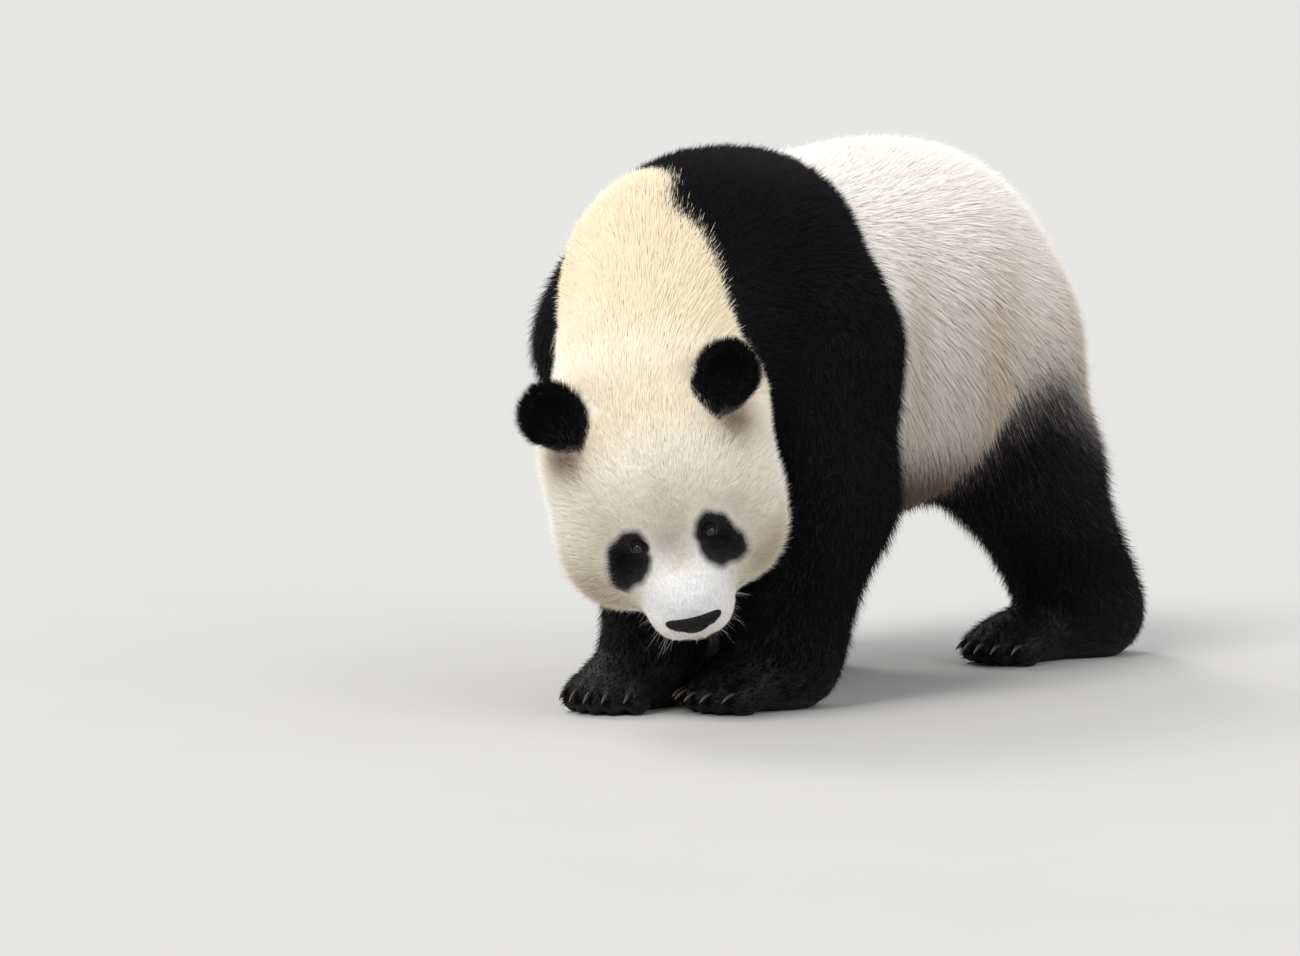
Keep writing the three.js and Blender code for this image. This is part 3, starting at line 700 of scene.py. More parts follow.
def smoothed(values, edges, rounds):
    """Each point takes the mean of itself and its neighbours, a few times over."""
    count = np.bincount(edges.ravel(), minlength=len(values))[:, None]
    for _ in range(rounds):
        total = np.zeros_like(values)
        for column in range(values.shape[1]):
            total[:, column] = (
                np.bincount(edges[:, 0], values[edges[:, 1], column], len(values))
                + np.bincount(edges[:, 1], values[edges[:, 0], column], len(values)))
        values = (values + total) / (count + 1)
    return values


skin_edges = gathered(skin_data.edges, "vertices", 2, np.int32)
skin_outward = gathered(skin_data.vertices, "normal", 3)
distances = group_distances(skin_points)
weights = group_weights(distances)


def unit(vectors):
    return vectors / np.maximum(np.linalg.norm(vectors, axis=-1, keepdims=True), 1e-9)


def along_surface(vectors, outward):
    """Directions laid flat on the hide."""
    return unit(vectors - outward * (vectors * outward).sum(1, keepdims=True))


def along_leg(name, points):
    """Down the limb, then forward over the foot."""
    leg = LEGS[name]
    joints = np.array([leg["top"], leg["bend"], leg["end"]], float)
    upper, lower = unit(joints[1] - joints[0]), unit(joints[2] - joints[1])
    toes = turned_about(Z_AXIS, leg["toe_out"]) @ np.array([0.0, -1.0, -0.25])
    share = eased(points[:, 2], joints[1][2] - 50, joints[1][2] + 50)[:, None]
    down = lower + (upper - lower) * share
    foot = 1 - eased(points[:, 2], 35, 95)[:, None]
    return down * (1 - foot) + toes * foot


def ear_root(s):
    return in_head(s * 84, 12, 78)


def lie_of_coat(points, outward, weights):
    """Which way the hair lies: back from the nose, along the back, down the sides and legs."""
    local = head_coordinates(points)
    back = eased(60 - local[:, 1], 0, 90)[:, None]
    from_nose = unit(local - [0.0, 205.0, -60.0]) * (1 - back) + np.array([0.0, -1.0, 0.1]) * back
    up = np.maximum(outward[:, 2], 0)[:, None]
    trunk = np.array([0.0, 1.0, 0.0]) * (0.40 + 0.60 * up) + np.array([0.0, 0.0, -1.0]) * (1 - up)
    rump = eased(points[:, 1], 250, 380)[:, None]
    trunk = trunk * (1 - rump) + np.array([0.0, 0.1, -1.0]) * rump
    guides = {
        "trunk": trunk,
        "neck": unit(NECK_START - NECK_END) + trunk * 0.5,
        "head": from_nose @ HEAD_TURN.T,
        "tail": np.array([0.0, 0.15, -1.0]),
        "left_ear": unit(points - ear_root(-1)),
        "right_ear": unit(points - ear_root(1)),
        **{name: along_leg(name, points) for name in LEGS},
    }
    lie = sum(unit(guides[name]) * weights[:, n:n + 1] for n, name in enumerate(GROUPS))
    return along_surface(lie, outward)


skin_lie = lie_of_coat(skin_points, skin_outward, weights)
skin_lie = along_surface(smoothed(skin_lie, skin_edges, 8), skin_outward)


# the black markings: a band over the shoulders with both forelegs, the hind legs, the ears
# and a leaning patch round each eye. Positive is black, in millimetres from the border.
REAR_HEIGHTS = (0, 200, 250, 322, 400, 440, 473, 505, 540, 567, 600, 627, 653, 670, 683, 720)
BAND_REAR = (
    -120, -150, -180, -220, -219, -228, -232, -222, -220, -222, -214, -204, -197, -196, -178, -178)
FRONT_HEIGHTS = (0, 200, 250, 322, 412, 471, 517, 572, 627, 654, 676, 720)
BAND_FRONT = (-620, -560, -500, -392, -420, -456, -453, -435, -417, -399, -369, -345)
RIGHT_BAND_BACK = (0, 0, 0, 10, 25, 42, 62, 82, 88, 70, 40, 20)
THIGH_LENGTHS = (60, 75, 84, 92, 120, 141, 174, 197, 228, 238, 267, 300, 420)
THIGH_LINE = (150, 262, 306, 340, 354, 368, 368, 356, 336, 324, 312, 304, 290)
RIGHT_THIGH_HEIGHTS = (260, 370)
RIGHT_THIGH_AHEAD = (150, 75)
THIGH_FRONT = 58
SHANK_TOP = 255
# how far from the border of the head, a fore leg, a hind leg and an ear the black begins or ends
HEAD_GAP, FORE_GAP, HIND_GAP, EAR_GAP = 8, 14, 12, 3
EAR_BLACK_FROM = 95.0                # along the head, from its middle to its crown
PATCH_MIDDLE = (57.0, -105.0)
PATCH_SHIFT = 3.5
PATCH_RADII = (28.0, 37.5)
PATCH_LEAN = math.radians(23.5)
# the patch's uneven rim: how many bulges, how strong, and turned how far
PATCH_BULGES = ((3, 0.04, 0.6), (4, 0.045, 1.2), (7, 0.025, 0.2), (11, 0.02, 2.0))
PATCH_RIM = 28


def thigh_place(points):
    ahead = np.interp(points[:, 2], RIGHT_THIGH_HEIGHTS, RIGHT_THIGH_AHEAD)
    return points[:, 1] + ahead * (1 - eased(points[:, 0], -60, 60))


def patch_level(points):
    """Below 1 inside the patch round an eye."""
    local = head_coordinates(points)
    side = np.where(local[:, 0] >= 0, 1.0, -1.0)
    x = (local[:, 0] - PATCH_SHIFT) * side - PATCH_MIDDLE[0]
    y = local @ FACE_RISE - PATCH_MIDDLE[1]
    across = x * math.cos(PATCH_LEAN) + y * math.sin(PATCH_LEAN)
    along = -x * math.sin(PATCH_LEAN) + y * math.cos(PATCH_LEAN)
    lower = 1 + 0.18 * np.clip(-along / PATCH_RADII[1], -1, 1)
    level = np.sqrt((across / PATCH_RADII[0] / lower) ** 2 + (along / PATCH_RADII[1]) ** 2)
    round_it = np.arctan2(along, across)
    for count, share, turn in PATCH_BULGES:
        level *= 1 + share * np.cos(count * round_it + turn + 0.9 * side)
    return np.where(local @ FACE_OUT > 20, level, 9.0)


EDGE_REACH = 110.0                  # how far on each side of the border it is measured


def by_name(distances):
    """The distance to each group of flesh, under the group's name."""
    return {name: distances[:, n] for n, name in enumerate(GROUPS)}


def black_edge(points, distances):
    to = by_name(distances)
    x, y, z = points.T
    front = np.interp(z, FRONT_HEIGHTS, BAND_FRONT)
    front += np.interp(z, FRONT_HEIGHTS, RIGHT_BAND_BACK) * eased(-x, -20, 110)
    band = np.minimum(y - front, np.interp(z, REAR_HEIGHTS, BAND_REAR) - y)
    band = np.minimum(band, to["head"] - HEAD_GAP)
    trunk = np.minimum(to["trunk"], to["neck"])
    others = np.minimum(trunk, to["head"])
    fore = others - np.minimum(to["left_fore"], to["right_fore"]) - FORE_GAP
    at = thigh_place(points)
    thigh = np.interp(at, THIGH_LENGTHS, THIGH_LINE) - z
    hind = np.minimum(thigh, (at - THIGH_FRONT) * 0.8)
    shank = trunk - np.minimum(to["left_hind"], to["right_hind"]) - HIND_GAP
    hind = np.maximum(hind, np.minimum(shank, SHANK_TOP - z))
    ears = others - np.minimum(to["left_ear"], to["right_ear"]) - EAR_GAP
    ears = np.minimum(ears, head_coordinates(points)[:, 2] - EAR_BLACK_FROM)
    patch = (1 - patch_level(points)) * PATCH_RIM
    return np.clip(np.max([band, fore, hind, ears, patch], 0), -EDGE_REACH, EDGE_REACH)


THIGH_SOFTNESS = 95.0
BODY_SOFTNESS = 11.0
FACE_SOFTNESS = 3.5


def border_softness(points):
    """How far the two colours mingle: a hair's breadth on the face, a hand's on the thigh."""
    at = thigh_place(points)
    thigh = eased(at, 55, 95) * eased(points[:, 2], 130, 220)
    face = 1 - eased(np.linalg.norm(points - HEAD_AT, axis=1), 150, 260)
    plain = BODY_SOFTNESS * (1 - face) + FACE_SOFTNESS * face
    return plain * (1 - thigh) + THIGH_SOFTNESS * thigh


def linear(red, green, blue):
    """A colour given as it looks on a screen, from 0 to 255, as light."""
    level = np.array([red, green, blue]) / 255.0
    return np.where(level <= 0.04045, level / 12.92, ((level + 0.055) / 1.055) ** 2.4)


CREAM = linear(246, 232, 205)
WHITE = linear(248, 246, 241)
BACK = linear(247, 242, 235)
FLANK = linear(228, 218, 208)
DUSTY = linear(198, 184, 170)
WARM_DUST = linear(205, 180, 146)
BELLY = linear(98, 77, 60)
FACE = linear(248, 243, 230)
MUZZLE = linear(240, 240, 240)
FURROW_SHADE = linear(150, 148, 146)
LIPS = linear(206, 194, 164)
BROW = linear(222, 209, 184)
CHEEK_SHADE = linear(184, 162, 126)
EAR_ROOT_SHADE = linear(126, 100, 76)
GRIZZLE = linear(164, 157, 153)
DARK_GRIZZLE = linear(66, 62, 62)
BLACK = linear(19, 18, 20)
BROWN_BLACK = linear(27, 21, 19)
PAW_SHADE_BLACK = linear(7, 6, 7)


def mixed(colour, other, share):
    return colour + (other - colour) * np.clip(share, 0, 1)[:, None]


def near(points, place, radius):
    return np.exp(-((np.linalg.norm(points - place, axis=1) / radius) ** 2))


# the tones of the head: colour, how strong, the middle of the spot on the head, and its radius
RIM_TONES = ((WHITE, 0.85, (128, 10, -30), 62),)
# painted shade: a brownish tone darkened on the underside of each cheek, and a darker tan where
# each ear meets the head
SHADE_TONES = ((CHEEK_SHADE, 0.8, (88, 92, -80), 52), (EAR_ROOT_SHADE, 0.9, (104, 30, 80), 29))
BROW_TONES = ((BROW, 0.4, (-5, 118, 88), 22), (BROW, 0.45, (0, 146, -4), 20))
MUZZLE_TONE = (0, 165, -55), 62
LIP_TONES = ((LIPS, 0.8, (0, 160, -122), 32),)


def toned(colour, tones, local, head, sides=(1,)):
    """Spots of other tones on the head, the same on each of the sides."""
    for s in sides:
        for tone, share, (x, y, z), radius in tones:
            # the roots of the ears lie partly off the head's own flesh
            on = 1.0 if tone is EAR_ROOT_SHADE else head
            colour = mixed(colour, tone, on * share * near(local, np.array([s * x, y, z]), radius))
    return colour


def white_tint(points, distances):
    """The pale hair: cream on the neck, chalk white on rim and muzzle, dusty on the flanks."""
    to = by_name(distances)
    x, y, z = points.T
    local = head_coordinates(points)
    colour = mixed(BACK, FLANK, eased(640 - z, 0, 190) * eased(y, -260, 0))
    colour = mixed(colour, DUSTY, 0.75 * eased(520 - z, 0, 230) * eased(y, -200, 160))
    colour = mixed(colour, DUSTY, 0.3 * eased(y, 220, 360))
    drift = np.sin(y / 31 + 0.9 * np.sin(z / 57) + 0.6 * np.sin(x / 43))
    on_flank = eased(y, -240, -130) * eased(640 - z, 0, 170) * (1 - eased(y, 250, 340))
    colour = mixed(colour, WARM_DUST, 0.28 * eased(drift, -0.1, 0.9) * on_flank)
    under = eased(340 - z, 0, 80) * eased(y, -260, -160) * (1 - eased(y, 20, 160))
    colour = mixed(colour, BELLY, 0.95 * under)
    edge = black_edge(points, distances)
    at_thigh = eased(border_softness(points), 20, 55)
    colour = mixed(colour, GRIZZLE, eased(edge, -58, 0) * at_thigh)
    colour = mixed(colour, DARK_GRIZZLE, 0.9 * eased(edge, 16, 46) * at_thigh)
    neck = eased(to["trunk"] - to["neck"], -30, 30) * (1 - eased(y, -330, -250))
    colour = mixed(colour, mixed(CREAM, WHITE, 0.7 * (1 - eased(z, 330, 520))), neck)
    head = 1 - eased(to["head"], 4, 40)
    colour = mixed(colour, FACE, head)
    colour = mixed(colour, CREAM, head * 0.6 * (1 - eased(local[:, 1], 10, 90)))
    colour = toned(colour, RIM_TONES, local, head, SIDES)
    muzzle = near(local, *MUZZLE_TONE)
    colour = mixed(colour, MUZZLE, head * muzzle * 1.25)
    # painted shade: grey lines in the furrows between the locks of hair on the muzzle
    streaks = np.sin(1.15 * local[:, 0] + 2 * np.sin(0.13 * local[:, 1]))
    streaks = streaks * np.sin(0.31 * local[:, 1] + 1.7)
    colour = mixed(colour, FURROW_SHADE, head * 0.25 * muzzle * eased(streaks, 0.1, 0.9))
    colour = toned(colour, LIP_TONES, local, head)
    # painted shade under the cheeks and at the roots of the ears
    colour = toned(colour, SHADE_TONES, local, head, SIDES)
    return toned(colour, BROW_TONES, local, head)


def black_tint(points, distances):
    low = (1 - eased(points[:, 2], 40, 170)) * eased(points[:, 1], 60, 260)
    colour = mixed(BLACK, BROWN_BLACK, 0.75 * low)
    # a deeper black over the paws: painted shade
    colour = mixed(colour, PAW_SHADE_BLACK, 0.8 * (1 - eased(points[:, 2], 60, 120)) * (1 - low))
    deep = eased(black_edge(points, distances), -10, 54)
    return mixed(colour, DARK_GRIZZLE, (1 - deep) * eased(border_softness(points), 20, 55))


def set_attribute(piece, name, values):
    """Keeps a number or a vector at each point of a piece's mesh."""
    values = np.ascontiguousarray(values, np.float32)
    kind, field = ("FLOAT", "value") if values.ndim == 1 else ("FLOAT_VECTOR", "vector")
    layer = piece.data.attributes.new(name, kind, "POINT")
    layer.data.foreach_set(field, values.ravel())


skin_black = black_edge(skin_points, distances)
skin_white_tint = white_tint(skin_points, distances)
skin_black_tint = black_tint(skin_points, distances)
bare = np.exp(-(from_mouth / 4.0) ** 2) + (1 - eased(from_eye, 12, 17))
sole = (skin_outward[:, 2] < -0.5) & (skin_points[:, 2] < 14)
skin_blend = 4 + 0.5 * np.maximum(border_softness(skin_points) - 12, 0)
skin_share = 0.5 + 0.5 * np.clip(skin_black / skin_blend, -1, 1)
UNDER_NOSE, UNDER_NOSE_RADII = (0, 183, -77), (33, 18, 13)
under_nose = np.linalg.norm((in_face - UNDER_NOSE) / UNDER_NOSE_RADII, axis=1) < 1
dark_share = np.max([skin_share, bare, sole, under_nose], 0)
# the hide under the pale coat takes the coat's tint a little darker: painted shade among the hair
# roots
skin_tint = mixed(skin_white_tint * 0.86, BLACK, dark_share)

skin_metres = in_metres(skin_points)
skin_data.shade_smooth()
put_points(skin_data, skin_metres)
skin = bpy.data.objects.new("panda_skin", skin_data)
bpy.context.scene.collection.objects.link(skin)
set_attribute(skin, "tint", skin_tint)

skin_finish, tree, shader = new_material("panda_hide", 0.6, 0.3)
mottle = add_noise(tree, 220.0)
add_grain(tree, shader, add_attribute(tree, "tint", "Vector"), mottle, (0.72, 1.2), (0.5, 0.75))
pores = add_noise(tree, 900.0, 3.0)
add_bump(tree, shader, pores, 0.5, 0.0008)
skin_data.materials.append(skin_finish)

FLESH = ["torso", "neck", "head", "tail", "left_ear", "right_ear"]
for name in LEGS:
    parts = ("upper_arm", "forearm") if name.endswith("fore") else ("thigh", "shin")
    FLESH += [f"{name}_{part}" for part in (*parts, "paw")]
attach(skin, "root")
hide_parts(*FLESH)


# ---------------------------------------------------------------- eyes
# Small dark-brown eyes in their sockets, each a wet ball with the clear window of the eye
# standing out a little at the front. They are separate from the hide, and the lids hold them.
EYE_RADIUS = 11.0
WINDOW_HEIGHT = 2.0
WINDOW_SPREAD = 0.42
PUPIL_ANGLE = 0.20
IRIS_ANGLE = 0.56
EYE_BROWN = linear(24, 15, 10)
EYE_WHITE = linear(40, 34, 33)
PUPIL_BLACK = (0.001, 0.001, 0.001)
EYE_BANDS = (
    (PUPIL_ANGLE, PUPIL_BLACK), (PUPIL_ANGLE + 0.05, EYE_BROWN),
    (IRIS_ANGLE - 0.06, EYE_BROWN * 0.8), (IRIS_ANGLE, EYE_BROWN * 0.12),
    (IRIS_ANGLE + 0.1, EYE_WHITE))


def eyeball(name, centre, axes, rings=36, sides=48):
    points, angles = [], []
    for i in range(rings + 1):
        angle = math.pi * i / rings
        radius = EYE_RADIUS + WINDOW_HEIGHT * math.exp(-((angle / WINDOW_SPREAD) ** 2))
        for j in range(sides if 0 < i < rings else 1):
            turn = 2 * math.pi * j / sides
            out = math.sin(angle)
            local = np.array([out * math.cos(turn), out * math.sin(turn), math.cos(angle)])
            points.append(centre + axes @ local * radius)
            angles.append(angle)
    last = len(points) - 1

    def number(i, j):
        return 0 if i == 0 else last if i == rings else 1 + (i - 1) * sides + j % sides
    faces = []
    for i in range(rings):
        for j in range(sides):
            ring = [number(i, j), number(i + 1, j), number(i + 1, j + 1), number(i, j + 1)]
            faces.append(list(dict.fromkeys(ring)))
    ball = mesh_object(name, in_metres(points), faces)
    set_attribute(ball, "angle", angles)
    ball.data.shade_smooth()
    return ball


def add_bands(tree, factor, bands):
    """A run of colours along a factor, each at its own place."""
    run = tree.nodes.new("ShaderNodeValToRGB")
    elements = run.color_ramp.elements
    for n, (place, colour) in enumerate(bands):
        element = elements[n] if n < 2 else elements.new(place)
        element.color = (*colour, 1.0)
        element.position = place
    tree.links.new(factor, run.inputs["Fac"])
    return run.outputs["Color"]


eye_finish, tree, shader = new_material("wet_eye", 0.05, 0.5)
rings = add_bands(tree, add_attribute(tree, "angle"), EYE_BANDS)
add_grain(tree, shader, rings, add_noise(tree, 1400.0, 5.0), (0.6, 1.3), (0.04, 0.09))
for s, side_name in SIDE_NAMES.items():
    ball = eyeball(f"{side_name}_eyeball", *EYES[s])
    ball.data.materials.append(eye_finish)
    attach(ball, "root")
    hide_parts(f"{side_name}_eye")


# ---------------------------------------------------------------- eyelids
# The bare black rims of the lids: a rounded fold all round each eye, tight on the ball at its
# inner edge, thicker above than below, and running out under the hair of the eye patch.
LID_HALF_WIDTH = 7.2
LID_HALF_HEIGHT = 5.9
LID_RAISED = 0.8                    # how far the opening lies above the middle of the ball
LID_STEPS = 56
LID_RIM = 12.0                      # from the eye's axis to where the lid has become hide
# each ring of a lid: how far out it lies, from the opening to the rim, and its height over the
# ball at the opening or over the hide at the rim
LID_RINGS = (
    (-0.04, 0.2), (0.0, 1.3), (0.10, 1.9), (0.28, 1.5), (0.55, 0.9), (0.8, 0.2), (1.0, -0.9),
    (0.9, -4.0))
LID_HOOD = 0.8                      # how much more the upper lid bulges
LID_COLOUR = (0.0055, 0.0045, 0.0045)


def eyelids(name, centre, axes):
    turns = 2 * math.pi * np.arange(LID_STEPS) / LID_STEPS
    across, up = np.cos(turns), np.sin(turns)
    height = LID_RAISED + LID_HALF_HEIGHT * up * (1 - 0.25 * across * across)
    opening = np.stack([LID_HALF_WIDTH * across, height], 1)
    rim = np.stack([LID_RIM * across, LID_RIM * 0.92 * up], 1)
    over = centre + np.column_stack([rim, np.full(LID_STEPS, 26.0)]) @ axes.T
    on_hide = onto_skin(over, -axes[:, 2])
    hide_height = np.clip(((on_hide - centre) @ axes)[:, 2], -2.0, 13.0)
    ball_height = np.sqrt(EYE_RADIUS ** 2 - (opening ** 2).sum(1))
    hood = LID_HOOD * np.maximum(up, 0)
    rings = []
    for share, height in LID_RINGS:
        flat = opening + (rim - opening) * share
        blend = eased(np.full(LID_STEPS, share), 0.0, 1.0)
        z = ball_height * (1 - blend) + hide_height * blend + height
        z += hood * math.exp(-(((share - 0.15) / 0.25) ** 2)) * (share > 0)
        rings.append(centre + np.column_stack([flat, z]) @ axes.T)
    points = np.stack(rings, 1).reshape(-1, 3)
    count = len(LID_RINGS)
    faces = []
    for n in range(LID_STEPS):
        for k in range(count):
            a, b = n * count, (n + 1) % LID_STEPS * count
            faces.append((a + k, b + k, b + (k + 1) % count, a + (k + 1) % count))
    lids = mesh_object(name, in_metres(points), faces)
    lids.data.shade_smooth()
    return lids


def faced_outward(piece):
    shell = bmesh.new()
    shell.from_mesh(piece.data)
    bmesh.ops.recalc_face_normals(shell, faces=shell.faces)
    shell.to_mesh(piece.data)
    shell.free()


lid_finish, tree, shader = new_material("lid_skin", 0.6, 0.12)
creases = add_noise(tree, 500.0, 5.0)
add_grain(tree, shader, add_colour(tree, LID_COLOUR), creases, (0.6, 1.7), (0.5, 0.72))
add_bump(tree, shader, creases, 0.5, 0.0006)
for s, side_name in SIDE_NAMES.items():
    lids = eyelids(f"{side_name}_eyelids", *EYES[s])
    faced_outward(lids)
    lids.data.materials.append(lid_finish)
    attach(lids, "root")


# ---------------------------------------------------------------- nose
# A broad pad of bare, pebbled, slightly damp leather on the end of the muzzle, with a
# comma-shaped nostril on each side. It grows out of the hide, and hair closes round its rim.
NOSE_AT = (0, 183.5, -75)
NOSE_CELL = 1.3
NOSE_REACH = 40
NOSE_COLOUR = (0.005, 0.0042, 0.0044)


def nostril(s):
    turned = HEAD_TURN @ turned_about(Y_AXIS, s * 25)
    return round_mass(in_head(s * 15, 198, -80), (6, 9, 4.5), 3, turned, True)


NOSE_MASSES = [
    round_mass(in_head(*NOSE_AT), (35, 15, 13), 6, HEAD_TURN),
    round_mass(in_head(0, 182, -83), (18, 15, 14), 10, HEAD_TURN),
    *[nostril(s) for s in SIDES],
]


def nose_field(points):
    return blended(NOSE_MASSES, points)


nose_middle = in_head(*NOSE_AT)
nose_points, nose_quads = surface_of(
    nose_field, nose_middle - NOSE_REACH, nose_middle + NOSE_REACH, NOSE_CELL)
nose_points = settled(nose_field, nose_points, 0.6)
nose = mesh_object("nose_leather", in_metres(nose_points), nose_quads)
nose.data.shade_smooth()
nose_finish, tree, shader = new_material("nose_leather", 0.44, 0.16)
pebbles = tree.nodes.new("ShaderNodeTexVoronoi")
pebbles.inputs["Scale"].default_value = 620.0
where = tree.nodes.new("ShaderNodeTexCoord")
tree.links.new(where.outputs["Object"], pebbles.inputs["Vector"])
worn = add_noise(tree, 160.0)
add_grain(tree, shader, add_colour(tree, NOSE_COLOUR), worn, (0.5, 1.8), (0.36, 0.56))
add_bump(tree, shader, pebbles.outputs["Distance"], 0.55, 0.0009)
nose.data.materials.append(nose_finish)
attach(nose, "root")
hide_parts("nose")


# ---------------------------------------------------------------- claws
# Five curved claws of horn on each foot, one to a toe, rooted under the hair of the toe.
# Each is deeper than it is wide, dark at the root and worn pale towards the tip.
CLAW_LENGTH = 27.0
CLAW_RADIUS = 4.5
CLAW_DROOP = math.radians(50.0)
CLAW_ROOT_AHEAD = 18.0
CLAW_ROOT_HEIGHT = 27.0
CLAW_RINGS = 10
CLAW_SIDES = 12
CLAW_BANDS = ((0.5, (0.016, 0.012, 0.010)), (0.95, (0.13, 0.10, 0.072)))


def claw(leg, n):
    """Points of one claw, ring by ring from the root, and how far along it each lies."""
    root = toe_point(leg, n, CLAW_ROOT_AHEAD, CLAW_ROOT_HEIGHT)
    turned = turned_about(Z_AXIS, leg["toe_out"] + 180) @ turned_about(X_AXIS, 4)
    bend_radius = CLAW_LENGTH / CLAW_DROOP
    points, along = [], []
    for ring in range(CLAW_RINGS + 1):
        t = ring / CLAW_RINGS
        radius = CLAW_RADIUS * (1 - t) ** 0.75
        angle = t * CLAW_DROOP
        for k in range(CLAW_SIDES if ring < CLAW_RINGS else 1):
            turn = 2 * math.pi * k / CLAW_SIDES
            side = radius * 0.82 * math.cos(turn)
            height = radius * 1.2 * math.sin(turn) * (1.0 if math.sin(turn) > 0 else 0.75)
            out = bend_radius + height
            local = np.array([side, out * math.sin(angle), out * math.cos(angle) - bend_radius])
            points.append(root + turned @ local)
            along.append(t)
    return points, along


horn, tree, shader = new_material("claw_horn", 0.36, 0.5)
wear = add_bands(tree, add_attribute(tree, "along"), CLAW_BANDS)
streaks = add_noise(tree, 350.0, 5.0)
add_grain(tree, shader, wear, streaks, (0.55, 1.35), (0.25, 0.5))
add_bump(tree, shader, streaks, 0.35, 0.0005)
for name, leg in LEGS.items():
    points, along, faces = [], [], []
    for n in range(TOES):
        base = len(points)
        claw_points, claw_along = claw(leg, n)
        points += claw_points
        along += claw_along
        for ring in range(CLAW_RINGS):
            for k in range(CLAW_SIDES):
                a = base + ring * CLAW_SIDES
                b = a + CLAW_SIDES
                k2 = (k + 1) % CLAW_SIDES
                tip = ring == CLAW_RINGS - 1
                faces.append((a + k, a + k2, b) if tip else (a + k, a + k2, b + k2, b + k))
        faces.append(tuple(base + k for k in reversed(range(CLAW_SIDES))))
    claws = mesh_object(f"{name}_claws", in_metres(points), faces)
    faced_outward(claws)
    claws.data.shade_smooth()
    set_attribute(claws, "along", along)
    claws.data.materials.append(horn)
    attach(claws, "root")
    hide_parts(*[f"{name}_claw_{n + 1}" for n in range(TOES)])


# ---------------------------------------------------------------- whiskers
# Stiff pale bristles rooted in the sides of the muzzle and the chin. Each is one tapering
# hair with a slight sag; they stand out through the short coat.
WHISKER_ROWS = 4
WHISKERS_A_ROW = 6
CHIN_BRISTLES = 14
# angles from straight ahead, in degrees, and how far each bristle may stray from its place
FIRST_WHISKER, WHISKER_STEP, WHISKER_STRAY, CHIN_SPREAD = 26, 9, 6, 55
WHISKER_COLOUR = (0.92, 0.91, 0.88)
WHISKER_SEED = 11


def new_tree(name, inputs):
    """A tree that takes a mesh and these named inputs: its group, what it is given, its result."""
    group = bpy.data.node_groups.new(name, "GeometryNodeTree")
    for way in ("INPUT", "OUTPUT"):
        group.interface.new_socket("Geometry", in_out=way, socket_type="NodeSocketGeometry")
    for label, value in inputs.items():
        kind = {float: "Float", int: "Int"}.get(type(value), "Material")
        socket = group.interface.new_socket(label, in_out="INPUT", socket_type=f"NodeSocket{kind}")
        if value is not None:
            socket.default_value = value
    given = group.nodes.new("NodeGroupInput")
    return group, given.outputs, group.nodes.new("NodeGroupOutput").inputs[0]


def node(group, kind, inputs=(), **settings):
    """A node with its settings. Each input is a fixed value or another node's output."""
    made = group.nodes.new(kind)
    for name, value in settings.items():
        setattr(made, name, value)
    for key, value in dict(inputs).items():
        if isinstance(value, bpy.types.NodeSocket):
            group.links.new(value, made.inputs[key])
        else:
            made.inputs[key].default_value = value
    return made


def named(group, name, kind="FLOAT"):
    source = node(group, "GeometryNodeInputNamedAttribute", {"Name": name}, data_type=kind)
    return source.outputs["Attribute"]


def stored(group, geometry, name, value):
    made = node(group, "GeometryNodeStoreNamedAttribute", {
        "Geometry": geometry, "Value": value, "Name": name}, data_type="FLOAT", domain="POINT")
    return made.outputs[0]


def scalar(group, operation, first, second):
    return node(group, "ShaderNodeMath", {0: first, 1: second}, operation=operation).outputs[0]


def vector(group, operation, inputs):
    return node(group, "ShaderNodeVectorMath", inputs, operation=operation).outputs["Vector"]


def pointed(group, way):
    """A turn that points the long axis of an instance along a direction."""
    return node(group, "FunctionNodeAlignRotationToVector", {"Vector": way}, axis="Z").outputs[0]


def cone(group, **inputs):
    """A pointed form of unit size, its foot at the origin."""
    return node(group, "GeometryNodeMeshCone", {
        "Radius Bottom": 1.0, "Depth": 1.0, **inputs}).outputs["Mesh"]


def painted(group, geometry, material, result):
    """Ends a tree: the geometry in its material."""
    coated = node(group, "GeometryNodeSetMaterial", {"Geometry": geometry, "Material": material})
    group.links.new(coated.outputs[0], result)
    return group


def plain_mesh(name, source, group, inputs):
    """Runs a tree over an object's mesh and keeps the result as a plain mesh of its own."""
    modifier = source.modifiers.new("tree", "NODES")
    modifier.node_group = group
    sockets = [item for item in group.interface.items_tree if item.in_out == "INPUT"]
    identifiers = {item.name: item.identifier for item in sockets}
    for key, value in inputs.items():
        modifier[identifiers[key]] = value
    graph = bpy.context.evaluated_depsgraph_get()
    graph.update()
    mesh = bpy.data.meshes.new_from_object(
        source.evaluated_get(graph), preserve_all_data_layers=True, depsgraph=graph)
    mesh.name = name
    source.modifiers.remove(modifier)
    source_mesh = source.data
    bpy.data.objects.remove(source)
    bpy.data.meshes.remove(source_mesh)
    piece = bpy.data.objects.new(name, mesh)
    bpy.context.scene.collection.objects.link(piece)
    return piece


